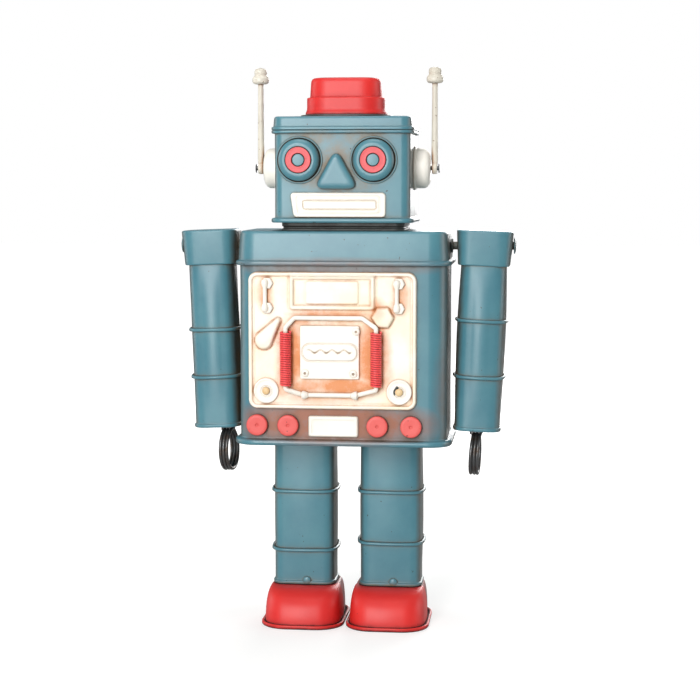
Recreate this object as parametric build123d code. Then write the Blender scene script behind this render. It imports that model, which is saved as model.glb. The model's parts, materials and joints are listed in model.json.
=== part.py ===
from build123d import *
import os
from math import cos, pi, radians, sin

os.makedirs("parts", exist_ok=True)

# A tin wind-up robot.  Millimetres, +Z up, the front faces -Y, the robot's own left is +X.
# Everything is drawn about the torso's own axis and moved by body_y when it is written, so that
# the origin is on the floor under the middle of the whole robot, key included.

# ---------------------------------------------------------------- driving dimensions
tin = 0.8                       # wall of all pressed tinplate
run_gap = 0.05                  # radial clearance of a running fit
free_gap = 0.5                  # clearance between pieces that pass each other

torso_w, torso_d = 114.0, 60.0
torso_corner = 10.0
torso_bottom, torso_top = 104.0, 221.2
torso_rim_h, torso_rim_proud = 3.2, 3.0
lid_h = 18.8                    # the lid slips over the body's top
lid_bead_h, lid_bead_proud = 2.4, 1.5
lid_edge = 2.6                  # rounding round the lid's top

neck_inset, neck_h = 3.25, 4.4
head_w, head_d, head_h = 74.0, 50.0, 57.3
head_y = -3.0
head_corner = 5.0
head_lid_h = 9.2
head_rim_h, head_rim_proud = 2.4, 2.0
head_bead_h, head_bead_proud = 1.7, 1.0

beacon_w, beacon_d = 45.0, 33.0
beacon_tier_h, beacon_top_h, beacon_step = 9.6, 10.6, 2.5
beacon_flange = 2.6

face_x = -2.8                   # the pressed face sits a little off the head's middle
eye_spacing, eye_up = 40.4, 33.8     # heights on the face are above the head's lower edge
eye_r, eye_proud = 11.5, 5.0
eye_ring_outer, eye_ring_inner, eye_ring_proud = 7.0, 3.45, 0.7
nose_w, nose_h, nose_proud, nose_up = 20.8, 18.8, 4.2, 27.6
mouth_w, mouth_h, mouth_proud, mouth_up = 52.0, 13.4, 1.6, 9.6

ear_r, ear_len, ear_up = 11.1, 9.3, 29.6
ear_lip, ear_flange, ear_y = 0.9, 1.2, 3.0       # ear_y: behind the head's middle
antenna_r, antenna_len = 1.85, 46.5
antenna_eye_r = 3.3
antenna_pin_r, antenna_washer_r = 1.2, 2.6
knob_r, knob_h = 4.65, 9.0

shoulder_drop = 8.6             # from the lid's top down to the shoulder pin
shoulder_pin_r = 2.2
washer_r, washer_t = 4.5, 1.2
cap_over_w, cap_over_d, cap_h, cap_round = 3.0, 2.3, 19.4, 1.6    # cap beyond the arm, each side
cap_gap = 1.7                   # from the lid's bead to the shoulder cap
cap_above = 8.6                 # from the pin up to the cap's top
arm_w, arm_d, arm_corner = 25.0, 24.4, 7.0
arm_len = 102.4                 # from the pin down to the arm's lower end
arm_lean = 2.1                  # degrees, the lower end leans in
arm_band_drop = {"right": (46.8, 73.6), "left": (40.8, 72.2)}      # below the pin
band_r = 1.0                    # wire bands round the arms and legs

hand_r, wire_r, hand_pitch, hand_turns = 11.8, 0.95, 1.95, 3
hand_twist = {"right": -8.0, "left": -4.0}       # degrees about the upright
hand_inset = {"right": 4.6, "left": 0.3}        # claw inside the arm's middle, towards the body

leg_gap = 15.0                  # between the two legs
leg_w, leg_d, leg_corner = 34.0, 26.0, 6.0
leg_inside = 4.0                # how far a leg reaches up into the torso
leg_ear_r = 6.0                 # the leg's ears on the hip shaft
leg_band_z = {"right": (74.4, 41.0), "left": (74.6, 45.6)}

foot_gap = 1.0
foot_over, foot_len, foot_h = 4.2, 54.0, 20.6     # foot_over: shoe beyond the leg, each side
foot_ahead = 4.6                # from the torso's front back to the toe
foot_corner = 13.0
foot_seam = 1.0                 # where toe cap and heel shell meet
sole_flange, sole_t, sole_rim_h = 2.1, 1.0, 2.4

chest_x = -4.85                 # the chest plate is off the middle, as pressed
chest_up = 57.7                 # chest plate's middle above the torso's lower edge
panel_w, panel_h = 92.0, 74.8
panel_floor, panel_border_w, panel_border = 1.2, 2.2, 0.9
panel_corner = 5.0
# places on the chest are measured from the chest plate's middle: across, up
window_w, window_h, window_at = 46.6, 18.9, (0.0, 26.3)
spring_at = (-25.05, 23.75)
spring_low, spring_high, spring_r = -24.7, 5.7, 3.2
spring_ridges = 24
pipe_r, pipe_over, pipe_under = 1.25, 12.5, -29.5
pipe_bends_over, pipe_bends_under = (-20.5, 16.6), (-15.5, 13.1)
plate_at, plate_w, plate_h, plate_t = (-1.2, -6.2), 32.5, 29.2, 1.4
screw_at = ((13.35, 5.3), (-14.55, 5.3), (-14.55, -17.5), (11.85, -17.7))
hex_at, hex_across = (27.65, 12.8), 10.8
paddle_wide, paddle_narrow = (-37.25, 0.1, 5.0), (-30.75, 10.7, 1.7)     # across, up, radius
dial_at, dial_up, dial_r = (-36.15, 36.65), -27.5, 6.9
switch_at, switch_up = (-35.45, 36.35), (17.8, 31.2)
nut_across, nut_h = 6.0, 1.8
button_r, button_proud = 5.8, 3.0
button_at, button_up = (-41.35, -24.25, 24.65, 43.05), -46.5
label_w, label_h, label_t, label_at = 27.4, 11.6, 1.6, (0.55, -46.9)

motor_up = 37.0                 # winding arbor and crankshaft, above the torso's lower edge
hip_up, hip_r = 9.0, 1.5
crown_r, crown_teeth, peg_w, peg_depth = 17.0, 27, 1.2, 2.5
pinion_pins, pinion_pin_r = 9, 0.6
mesh_depth = 1.35
arbor_r, pivot_r = 2.0, 1.5
shaft_r, crank_throw, crank_pin_r = 1.5, 3.0, 1.0
crank_disc_r, crank_disc_t = 5.5, 1.5
frame_x, frame_t = 26.4, 1.2
ratchet_teeth, ratchet_r, ratchet_root = 12, 6.5, 5.2
main_turns, main_pitch, main_strip, main_width = 6, 2.4, 0.5, 7.0
web_t, ratchet_t = 1.2, 1.2
side_play, spring_play, wall_play = 0.7, 1.0, 1.2     # gaps along the arbor
lever_t = 1.2
key_reach = 33.0                # how far the key stands out behind the torso
key_wing_r, key_wing_t = 9.5, 1.6
leg_swing = 6.0                 # degrees each way
antenna_swing = 90.0

# ---------------------------------------------------------------- sizes that follow
front = -torso_d / 2
back = torso_d / 2
chest_z = torso_bottom + chest_up
panel_face = front - panel_floor
spring_y = panel_face - spring_r - 0.2
chest_front = spring_y - spring_r
body_y = -(chest_front + back + key_reach) / 2
lid_bottom = torso_top - lid_h
lid_w, lid_d = torso_w + 2 * tin, torso_d + 2 * tin
base_low = torso_bottom + 1.2
head_bottom = torso_top + neck_h
head_top = head_bottom + head_h
head_lid_bottom = head_top - head_lid_h
face = head_y - head_d / 2
eye_x = (face_x - eye_spacing / 2, face_x + eye_spacing / 2)
eye_z, ear_z = head_bottom + eye_up, head_bottom + ear_up
shoulder_z = torso_top - shoulder_drop
cap_w, cap_d = arm_w + 2 * cap_over_w, arm_d + 2 * cap_over_d
cap_x = lid_w / 2 + lid_bead_proud + cap_gap      # inner side of the shoulder cap
arm_x = cap_x + cap_w / 2
cap_top = shoulder_z + cap_above
cap_bottom = cap_top - cap_h
arm_bottom = shoulder_z - arm_len
hand_clip = (hand_turns - 1) / 2 * hand_pitch + wire_r + 0.4
ear_x = head_w / 2
antenna_y = head_y + ear_y
antenna_x = ear_x + ear_len + antenna_r + 0.3
motor_z, hip_z = torso_bottom + motor_up, torso_bottom + hip_up
pinion_r = crown_r * pinion_pins / crown_teeth
rear_plate = back - tin - wall_play - frame_t     # front face of the motor's rear plate
main_y = rear_plate - spring_play - main_width
ratchet_y = main_y - spring_play / 2 - ratchet_t
web_back = ratchet_y - side_play
web_front = web_back - web_t
shaft_y = web_front - side_play - pinion_pin_r - pinion_r
peg_tip = shaft_y + pinion_r + pinion_pin_r - mesh_depth
arbor_front = shaft_y + shaft_r + free_gap
main_first = arbor_r + 0.6
main_post = main_first + main_turns * main_pitch + main_strip + 1.5
click_z = ratchet_r + 4.1
leg_x, leg_y = (leg_gap + leg_w) / 2, shaft_y
leg_top = torso_bottom + leg_inside
leg_slot = free_gap + (hip_z - base_low) * sin(radians(leg_swing)) + 0.3
foot_w = leg_w + 2 * foot_over
foot_x = foot_w / 2 + sole_flange + foot_gap / 2
foot_y = front + foot_ahead + foot_len / 2
ankle_z = foot_h
swing_at_crank = (motor_z - hip_z) * sin(radians(leg_swing))
window_y_half = crank_throw + crank_pin_r + swing_at_crank + free_gap
window_z_half = crank_throw + crank_pin_r + free_gap + 0.6
lever_half = window_y_half + 2.2
crank_x = frame_x + frame_t + 0.6                 # inner face of the crank discs
lever_x = crank_x + crank_disc_t + 1.7
sides = {"right": -1, "left": 1}


# ---------------------------------------------------------------- shapes used again and again
def slab(width, depth, corner, low, high, x=0.0, y=0.0):
    """Upright block with rounded vertical corners."""
    return extrude(Pos(x, y, low) * RectangleRounded(width, depth, corner), high - low)


def can(width, depth, corner, low, high, x=0.0, y=0.0):
    """Open-ended tin tube with rounded vertical corners."""
    inner = slab(width - 2 * tin, depth - 2 * tin, corner - tin, low, high, x, y)
    return slab(width, depth, corner, low, high, x, y) - inner


def loop_edges(solid, at_top):
    """Outer loop of edges of the highest or the lowest face."""
    face_there = solid.faces().sort_by(Axis.Z)[-1 if at_top else 0]
    return face_there.outer_wire().edges()


def bead(width, depth, corner, low, height, proud, x=0.0, y=0.0):
    """Rounded roll that stands proud of a tin wall of this outline."""
    solid = slab(width + 2 * proud, depth + 2 * proud, corner + proud, low, low + height, x, y)
    solid = fillet(loop_edges(solid, True) + loop_edges(solid, False), 0.46 * height)
    return solid - slab(width - tin, depth - tin, corner - tin / 2, low, low + height, x, y)


def domed(width, depth, corner, low, high, rounding, x=0.0, y=0.0):
    """Upright block whose top edge is rounded."""
    solid = slab(width, depth, corner, low, high, x, y)
    return fillet(loop_edges(solid, True), rounding)


def pan(width, depth, corner, low, high, rounding, x=0.0, y=0.0):
    """Tin lid, open below, with a rounded top edge."""
    inner = domed(width - 2 * tin, depth - 2 * tin, corner - tin, low, high - tin, rounding - tin, x, y)
    return domed(width, depth, corner, low, high, rounding, x, y) - inner


def rod_x(y, z, x0, x1, radius):
    return Pos((x0 + x1) / 2, y, z) * Rot(0, 90, 0) * Cylinder(radius, abs(x1 - x0))


def rod_y(x, z, y0, y1, radius):
    return Pos(x, (y0 + y1) / 2, z) * Rot(90, 0, 0) * Cylinder(radius, abs(y1 - y0))


def rod_z(x, y, z0, z1, radius):
    return Pos(x, y, (z0 + z1) / 2) * Cylinder(radius, z1 - z0)


def block(x0, x1, y0, y1, z0, z1):
    return Pos((x0 + x1) / 2, (y0 + y1) / 2, (z0 + z1) / 2) * Box(abs(x1 - x0), y1 - y0, z1 - z0)


def raised(sketch, back_y, proud):
    """Flat pressing: a sketch in x and z, standing proud of the plane y = back_y towards the front."""
    wall = Plane(origin=(0, back_y, 0), x_dir=(1, 0, 0), z_dir=(0, -1, 0))
    return extrude(wall * sketch, proud)


def soften(solid, amount):
    """Round the front edges of a pressing."""
    front_face = solid.faces().sort_by(Axis.Y)[0]
    return fillet(front_face.outer_wire().edges(), amount)


def turned(points, at, facing):
    """Solid of revolution from (radius, height) points, its axis along facing."""
    profile = make_face(Polyline(*[(r, 0, h) for r, h in points], close=True))
    return Plane(origin=at, z_dir=facing) * revolve(profile, Axis.Z)


def bent_rod(points, radius, bend):
    path = FilletPolyline(*points, radius=bend)
    return sweep(Plane(origin=path @ 0, z_dir=path % 0) * Circle(radius), path)


def joined(pieces):
    """Several solids as one shape."""
    pieces = list(pieces)
    whole = pieces[0]
    for piece in pieces[1:]:
        whole += piece
    return whole


def hexagon_x(x0, x1, y, z, across):
    nut = extrude(RegularPolygon(across / 2, 6, major_radius=False), x1 - x0)
    return Pos(x0, y, z) * Rot(0, 90, 0) * nut


written = []


def save(name, shape):
    """Write one sub-part in the robot's own frame."""
    export_step(Pos(0, body_y, 0) * shape, f"parts/{name}.step")
    written.append(name)


# ---------------------------------------------------------------- torso
def torso_shell():
    shell = can(torso_w, torso_d, torso_corner, torso_bottom, lid_bottom + lid_bead_h + 2)
    shell += bead(torso_w, torso_d, torso_corner, torso_bottom, torso_rim_h, torso_rim_proud)
    return shell - rod_y(0, motor_z, rear_plate, back + 1, arbor_r + 1)


def torso_lid():
    lid = pan(lid_w, lid_d, torso_corner + tin, lid_bottom, torso_top, lid_edge)
    lid += bead(lid_w, lid_d, torso_corner + tin, lid_bottom, lid_bead_h, lid_bead_proud)
    return lid - rod_x(0, shoulder_z, -lid_w, lid_w, shoulder_pin_r)


def torso_base():
    plate = slab(torso_w - 2 * tin, torso_d - 2 * tin, torso_corner - tin, base_low, base_low + tin)
    for side in sides.values():
        plate -= slab(leg_w + 2 * free_gap, leg_d + 2 * leg_slot, leg_corner, base_low, base_low + tin,
                      side * leg_x, leg_y)
    return plate


def torso_outside():
    return slab(torso_w, torso_d, torso_corner, torso_bottom, torso_top)


# ---------------------------------------------------------------- chest trim
def on_chest(across, up):
    """A place on the chest, from the chest plate's middle."""
    return Pos(chest_x + across, chest_z + up)


def chest_panel():
    at = on_chest(0, 0)
    depth = 2 + panel_floor + panel_border
    plate = soften(raised(at * RectangleRounded(panel_w, panel_h, panel_corner), front + 2, depth), 0.6)
    floor_w, floor_h = panel_w - 2 * panel_border_w, panel_h - 2 * panel_border_w
    plate -= raised(at * RectangleRounded(floor_w, floor_h, panel_corner - 1.5), panel_face, panel_border)
    at = on_chest(*window_at)
    outer = raised(at * RectangleRounded(window_w, window_h, 2.0), panel_face, 1.3)
    trough = raised(at * RectangleRounded(window_w - 5, window_h - 5, 1.5), panel_face + 0.5, 1.8)
    pane = raised(at * RectangleRounded(window_w - 18, window_h - 7, 1.2), panel_face, 1.0)
    plate += soften(outer, 0.4) - trough
    plate += soften(pane, 0.4)
    boss = raised(on_chest(*hex_at) * RegularPolygon(hex_across / 2, 6, major_radius=False), panel_face, 2.4)
    plate += soften(boss, 0.7) - chest_pipes()
    plate += paddle()
    return plate - torso_outside()


def paddle():
    """Teardrop pressing, wide at its lower end."""
    rounds = [(on_chest(across, up) * Circle(r)).edges() for across, up, r in (paddle_wide, paddle_narrow)]
    return soften(raised(make_hull(rounds[0] + rounds[1]), panel_face, 2.6), 1.2)


def chest_dials():
    """Two round corner dials, each with a hub rivet."""
    profile = [(0, 0), (dial_r, 0), (dial_r, 0.9), (dial_r - 0.7, 1.5), (dial_r - 1.8, 1.1),
               (2.6, 1.1), (2.4, 2.2), (1.6, 2.8), (0, 3.0)]
    return joined(turned(profile, (chest_x + across, panel_face, chest_z + dial_up), (0, -1, 0))
                  for across in dial_at)


def chest_switches():
    """Two toggle bars, each held by a hexagon nut at both ends."""
    low, high = switch_up
    hexagon = RegularPolygon(nut_across / 2, 6, major_radius=False, rotation=30)
    made = []
    for across in switch_at:
        bar = on_chest(across - 1.2, (low + high) / 2) * SlotOverall(high - low + 3.4, 2.5, rotation=90)
        made.append(soften(raised(bar, panel_face - nut_h, 1.3), 0.5))
        for up in switch_up:
            made.append(raised(on_chest(across, up) * hexagon, panel_face, nut_h))
            made.append(raised(on_chest(across, up) * Circle(1.6), panel_face - nut_h, 1.6))
    return joined(made)


def chest_springs():
    """Close-wound coil springs, drawn as ridged rods of the coils' outer form."""
    length = spring_high - spring_low
    pitch = length / spring_ridges
    groove = spring_r - 0.35 * pitch
    points = [(0, 0), (groove, 0)]
    for turn in range(spring_ridges):
        start = turn * pitch
        points += [(groove, start + 0.08 * pitch), (spring_r, start + 0.35 * pitch),
                   (spring_r, start + 0.65 * pitch), (groove, start + 0.92 * pitch)]
    points += [(groove, length), (0, length)]
    return joined(turned(points, (chest_x + across, spring_y, chest_z + spring_low), (0, 0, 1))
                  for across in spring_at)


def chest_pipes():
    """Two bent pipes, one over and one under the plate, that run into the springs' ends."""
    pipe_y = panel_face - pipe_r - 0.1
    made = []
    for end, turn, up, bends in ((spring_high, 1.6, pipe_over, pipe_bends_over),
                                 (spring_low, -1.6, pipe_under, pipe_bends_under)):
        left, right = [chest_x + across for across in spring_at]
        near, far = [chest_x + across for across in bends]
        z = chest_z + end
        route = [(left, spring_y, z), (left, spring_y, z + turn), (near, pipe_y, chest_z + up),
                 (far, pipe_y, chest_z + up), (right, spring_y, z + turn), (right, spring_y, z)]
        made.append(bent_rod(route, pipe_r, 1.5))
    for across in pipe_bends_under:
        x = chest_x + across
        made.append(hexagon_x(x - 1.4, x + 1.4, pipe_y, chest_z + pipe_under, 4.0))
    behind = block(-torso_w, torso_w, panel_face, front + 5, torso_bottom, torso_top)
    return joined(made) - behind


def centre_plate():
    at = on_chest(*plate_at)
    plate = soften(raised(at * RectangleRounded(plate_w, plate_h, 1.0), panel_face, plate_t), 0.3)
    plate += soften(raised(at * SlotOverall(29.0, 8.2), panel_face - plate_t, 0.7), 0.5)
    wave = [(2.5 * (step - 5), 0.9 if step % 2 else -0.9) for step in range(11)]
    return plate - raised(at * trace(Spline(*wave), 0.9), panel_face - plate_t + 0.6, 2.0)


def plate_screws():
    profile = [(0, 0), (2.0, 0), (2.0, 0.5), (1.2, 1.0), (0, 1.1)]
    return joined(turned(profile, (chest_x + across, panel_face - plate_t, chest_z + up), (0, -1, 0))
                  for across, up in screw_at)


def chest_buttons():
    profile = [(0, -2), (button_r, -2), (button_r, button_proud - 0.8), (button_r - 0.8, button_proud),
               (0, button_proud + 0.2)]
    return joined(turned(profile, (chest_x + across, front, chest_z + button_up), (0, -1, 0))
                  for across in button_at) - torso_outside()


def label_plate():
    blank = on_chest(*label_at) * RectangleRounded(label_w, label_h, 1.2)
    return soften(raised(blank, front, label_t), 0.6)


# ---------------------------------------------------------------- head
def neck_collar():
    width, depth = head_w - 2 * neck_inset, head_d - 2 * neck_inset
    return can(width, depth, head_corner, torso_top, head_bottom, 0, head_y)


def head_shell():
    """Head can with a closed bottom and a rolled lower rim."""
    shell = can(head_w, head_d, head_corner, head_bottom, head_lid_bottom + 3, 0, head_y)
    shell += slab(head_w, head_d, head_corner, head_bottom, head_bottom + tin, 0, head_y)
    shell += bead(head_w, head_d, head_corner, head_bottom, head_rim_h, head_rim_proud, 0, head_y)
    return shell


def head_lid():
    width, depth, corner = head_w + 2 * tin, head_d + 2 * tin, head_corner + tin
    lid = pan(width, depth, corner, head_lid_bottom, head_top, 1.8, 0, head_y)
    for low in (head_lid_bottom, head_lid_bottom + head_bead_h):
        lid += bead(width, depth, corner, low, head_bead_h, head_bead_proud, 0, head_y)
    return lid


def beacon_seat():
    width, depth = beacon_w + 2 * beacon_flange, beacon_d + 2 * beacon_flange
    return domed(width, depth, width * 0.32, head_top, head_top + 1.2, 0.6, 0, head_y)


def beacon_lens():
    """Two-tier red warning lamp."""
    low = head_top + 1.2
    tier = domed(beacon_w, beacon_d, 13.0, low, low + beacon_tier_h, 1.6, 0, head_y)
    cap = domed(beacon_w - 2 * beacon_step, beacon_d - 2 * beacon_step, 11.0, low, low + beacon_tier_h
                + beacon_top_h, 3.4, 0, head_y)
    inner = slab(beacon_w - 4 * beacon_step, beacon_d - 4 * beacon_step, 8.0, low,
                 low + beacon_tier_h + beacon_top_h - 3, 0, head_y)
    return tier + cap - inner


def eye(x):
    return turned([(0, 0), (eye_r, 0), (eye_r, 2.6), (eye_r - 0.7, 3.8), (eye_r - 2.2, 4.7),
                   (eye_r - 3.6, eye_proud), (0, eye_proud)], (x, face, eye_z), (0, -1, 0))


def eye_rings():
    inner, outer, edge = eye_ring_inner, eye_ring_outer, eye_ring_proud - 0.2
    profile = [(inner, 0), (outer, 0), (outer, edge), (outer - 0.3, eye_ring_proud),
               (inner + 0.3, eye_ring_proud), (inner, edge)]
    return joined(turned(profile, (x, face - eye_proud, eye_z), (0, -1, 0)) for x in eye_x)


def nose():
    """Rounded three-sided pressing, narrow at the top."""
    side_x, low, top = nose_w / 2 - 2.4, 2.4 - nose_h / 2, nose_h / 2 - 2.0
    corners = [(-side_x, low, 2.4), (side_x, low, 2.4), (0, top, 2.0)]
    rounds = [(Pos(face_x + x, head_bottom + nose_up + z) * Circle(r)).edges() for x, z, r in corners]
    return soften(raised(make_hull(rounds[0] + rounds[1] + rounds[2]), face, nose_proud), 1.7)


def mouth_plate():
    at = Pos(face_x + 0.8, head_bottom + mouth_up)
    plate = soften(raised(at * RectangleRounded(mouth_w, mouth_h, 2.2), face, mouth_proud), 0.7)
    plate -= raised(at * RectangleRounded(mouth_w - 7, mouth_h - 4.4, 1.4), face - mouth_proud + 0.8, 2.0)
    bar = raised(at * RectangleRounded(mouth_w - 11, mouth_h - 8.4, 1.0), face - mouth_proud + 0.8, 0.8)
    return plate + soften(bar, 0.4)


def ear(side):
    """Drawn cup on the side of the head that carries the antenna's pivot."""
    return turned([(0, 0), (ear_r + ear_lip, 0), (ear_r + ear_lip, ear_flange), (ear_r, ear_flange + 0.3),
                   (ear_r, ear_len - 3.0), (ear_r - 0.9, ear_len - 1.1), (ear_r - 2.8, ear_len - 0.2),
                   (ear_r - 4.0, ear_len), (0, ear_len)], (side * ear_x, antenna_y, ear_z), (side, 0, 0))


def antenna(side):
    """Upright rod with a pivot eye at its foot and a knob on top."""
    x, y, top = side * antenna_x, antenna_y, ear_z + antenna_len
    mast = rod_z(x, y, ear_z, top + 1, antenna_r)
    mast += rod_x(y, ear_z, x - 1.4, x + 1.4, antenna_eye_r)
    knob = turned([(0, 0), (knob_r - 0.9, 0), (knob_r, 1.1), (knob_r, 3.6), (knob_r - 1.0, 4.8),
                   (knob_r - 1.1, 7.4), (knob_r - 2.0, 8.7), (0, knob_h)], (x, y, top), (0, 0, 1))
    return mast + knob - rod_x(y, ear_z, x - 3, x + 3, antenna_pin_r + run_gap)


def antenna_pins():
    made = []
    for side in sides.values():
        seat, end = side * (ear_x + ear_len), side * (antenna_x + antenna_r + 0.3)
        made.append(rod_x(antenna_y, ear_z, seat, end, antenna_pin_r))
        made.append(rod_x(antenna_y, ear_z, end, end + side * 0.9, antenna_washer_r))
    return joined(made)


# ---------------------------------------------------------------- arms
def lean(side, shape):
    """Tip an upright arm piece in at its lower end, about the shoulder pin."""
    pin_axis = Axis((side * arm_x, 0, shoulder_z), (0, 1, 0))
    return shape.rotate(pin_axis, side * arm_lean)


def arm_slab(side, low, high, grow=0.0):
    return slab(arm_w + 2 * grow, arm_d + 2 * grow, arm_corner + grow, low, high, side * arm_x, 0)


def arm_tube(side):
    """Arm of folded tin, closed at both ends, with a wired lower rim."""
    tube = arm_slab(side, arm_bottom, cap_bottom + 4)
    tube -= arm_slab(side, arm_bottom + tin, cap_bottom + 4 - tin, -tin)
    rim = bead(arm_w, arm_d, arm_corner, arm_bottom, 2 * band_r, 0.8, side * arm_x, 0)
    return lean(side, tube + rim)


def arm_bands(side, name):
    made = []
    for drop in arm_band_drop[name]:
        low = shoulder_z - drop - band_r
        ring = bead(arm_w, arm_d, arm_corner, low, 2 * band_r, 0.9, side * arm_x, 0)
        made.append(ring - arm_slab(side, low - 1, low + 3))
    return lean(side, joined(made))


def shoulder_cap(side):
    """Deep cap over the arm's top, closed below by a flange round the arm."""
    cap = pan(cap_w, cap_d, 7.5, cap_bottom, cap_top, cap_round, side * arm_x, 0)
    cap += slab(cap_w, cap_d, 7.5, cap_bottom, cap_bottom + tin, side * arm_x, 0)
    cap -= lean(side, arm_slab(side, cap_bottom - 5, cap_bottom + 4))
    near, far = side * (cap_x - 2), side * (cap_x + cap_w + 2)
    return cap - rod_x(0, shoulder_z, near, far, shoulder_pin_r + run_gap)


def shoulder_pins():
    """Rivets that carry the arms, each with a washer inside and outside."""
    made = []
    for side in sides.values():
        root, tip = side * (lid_w / 2 - tin), side * (cap_x + cap_w + 0.4)
        made.append(rod_x(0, shoulder_z, root, tip, shoulder_pin_r))
        made.append(rod_x(0, shoulder_z, tip, tip + side * washer_t, washer_r))
        made.append(rod_x(0, shoulder_z, side * lid_w / 2, side * (cap_x - 0.3), washer_r - 0.6))
    return joined(made)


def hand_coil(side, name):
    """Claw of three wire turns, clamped together under the arm."""
    top = arm_bottom
    centre_z = top - hand_r - wire_r - 0.6
    middle = side * (arm_x - hand_inset[name])
    coil = Pos(middle, 0, 0) * block(-hand_clip, hand_clip, -3.2, 3.2, top - 2.6, top)
    for turn in range(hand_turns):
        x = middle + (turn - (hand_turns - 1) / 2) * hand_pitch
        coil += Pos(x, 0, centre_z) * Rot(0, 90, 0) * Torus(hand_r, wire_r)
    upright = Axis((middle, 0, 0), (0, 0, 1))
    return lean(side, coil.rotate(upright, hand_twist[name]))


# ---------------------------------------------------------------- legs and feet
def leg_slab(side, low, high, grow=0.0):
    return slab(leg_w + 2 * grow, leg_d + 2 * grow, leg_corner + grow, low, high, side * leg_x, leg_y)


def leg_tube(side):
    """Leg of folded tin with a closed foot end and two ears that hang on the hip shaft."""
    tube = leg_slab(side, ankle_z, leg_top) - leg_slab(side, ankle_z + tin, leg_top, -tin)
    tube += bead(leg_w, leg_d, leg_corner, ankle_z, 2 * band_r, 0.9, side * leg_x, leg_y)
    tab_r = 2.4
    tube += raised(Pos(side * leg_x + 2.0, ankle_z + tab_r) * Circle(tab_r), leg_y - leg_d / 2, 1.6)
    for x in (side * leg_x - leg_w / 2, side * leg_x + leg_w / 2 - tin):
        tube += block(x, x + tin, leg_y - leg_ear_r, leg_y + leg_ear_r, leg_top - 1, hip_z)
        tube += rod_x(leg_y, hip_z, x, x + tin, leg_ear_r)
    return tube - rod_x(leg_y, hip_z, side * leg_x - leg_w, side * leg_x + leg_w, hip_r + run_gap)


def leg_bands(side, name):
    made = []
    for z in leg_band_z[name]:
        low = z - band_r
        ring = bead(leg_w, leg_d, leg_corner, low, 2 * band_r, 0.9, side * leg_x, leg_y)
        made.append(ring - leg_slab(side, low - 1, low + 3))
    return joined(made)


def leg_lever(side):
    """Flat lever inside the leg, worked by the crank pin through a wide window."""
    near = side * lever_x
    far = near + side * lever_t
    half = leg_d / 2 - tin
    plate = block(near, far, leg_y - half, leg_y + half, leg_top - 34, leg_top - 2)
    reach = motor_z + window_z_half + 3
    plate += block(near, far, leg_y - lever_half, leg_y + lever_half, leg_top - 10, reach)
    plate -= block(near, far, leg_y - window_y_half, leg_y + window_y_half,
                   motor_z - window_z_half, motor_z + window_z_half)
    return plate - rod_x(leg_y, hip_z, near, far, hip_r + run_gap)


def shoe(side, shrink):
    """Outer or inner form of a shoe, from the sole up to the ankle."""
    rings = [(sole_t, foot_w, foot_len, foot_corner, foot_y),
             (0.30 * foot_h, foot_w - 0.4, foot_len - 0.8, foot_corner, foot_y + 0.2),
             (0.70 * foot_h, foot_w - 2.4, foot_len - 9.0, foot_corner, foot_y + 2.4),
             (ankle_z, leg_w + 2.4, leg_d + 4.0, leg_corner + 1.4, leg_y)]
    outlines = []
    for z, width, length, corner, y in rings:
        drop = shrink if z == ankle_z else 0
        outline = RectangleRounded(width - 2 * shrink, length - 2 * shrink, corner - shrink)
        outlines.append(Pos(side * foot_x, y, z - drop) * outline)
    return loft(outlines)


def shoe_half(side, toe):
    hollow = shoe(side, 0) - shoe(side, tin)
    x = side * foot_x
    low, high = (-foot_len, foot_seam) if toe else (foot_seam, foot_len)
    return hollow & block(x - foot_w, x + foot_w, low, high, 0, foot_h + 5)


def sole(side):
    """Flat sole with a rolled edge outside the shoe."""
    x = side * foot_x
    width, length = foot_w + 2 * sole_flange, foot_len + 2 * sole_flange
    corner = foot_corner + sole_flange
    plate = slab(width, length, corner, 0, sole_rim_h, x, foot_y)
    plate = fillet(loop_edges(plate, True) + loop_edges(plate, False), 0.9)
    plate -= slab(foot_w, foot_len, foot_corner, sole_t, sole_rim_h, x, foot_y)
    return plate - shoe(side, 0)


# ---------------------------------------------------------------- clockwork
def motor_frame():
    """Folded frame: two side plates, a rear plate and a front bridge for the arbor's pivot."""
    low, high = hip_z - 3.0, motor_z + 25.0
    bridge_y = arbor_front
    frame = block(-frame_x, frame_x, rear_plate, rear_plate + frame_t, base_low + tin, high)
    for side in sides.values():
        near, far = side * frame_x, side * (frame_x + frame_t)
        frame += block(near, far, shaft_y - 6, rear_plate + frame_t, low, high)
    for z in (hip_z + leg_ear_r + 1.5, high - 3.0):
        frame += block(-frame_x, frame_x, bridge_y, bridge_y + frame_t, z, z + 3.0)
    frame += block(-4.5, 4.5, bridge_y, bridge_y + frame_t, base_low + tin, high)
    frame += rod_y(-main_post, motor_z, ratchet_y + ratchet_t, rear_plate, 1.4)
    frame -= rod_y(0, motor_z, bridge_y, bridge_y + frame_t, pivot_r + run_gap)
    frame -= rod_y(0, motor_z, rear_plate, rear_plate + frame_t, arbor_r + run_gap)
    for z, radius in ((motor_z, shaft_r + run_gap), (hip_z, hip_r)):
        frame -= rod_x(shaft_y, z, -frame_x - 3, frame_x + 3, radius)
    return frame


def mainspring():
    """Spiral of spring steel, half-turn by half-turn about two centres."""
    strip = []
    end = main_y + main_width
    for half in range(2 * main_turns):
        radius = main_first + half * main_pitch / 2
        upper = half % 2 == 0
        x = 0.0 if upper else -main_pitch / 2
        ring = rod_y(x, motor_z, main_y, end, radius + main_strip) - rod_y(x, motor_z, main_y, end, radius)
        low, high = (motor_z, motor_z + main_post) if upper else (motor_z - main_post, motor_z)
        strip.append(ring & block(-2 * main_post, 2 * main_post, main_y, end, low, high))
    return joined(strip)


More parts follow.
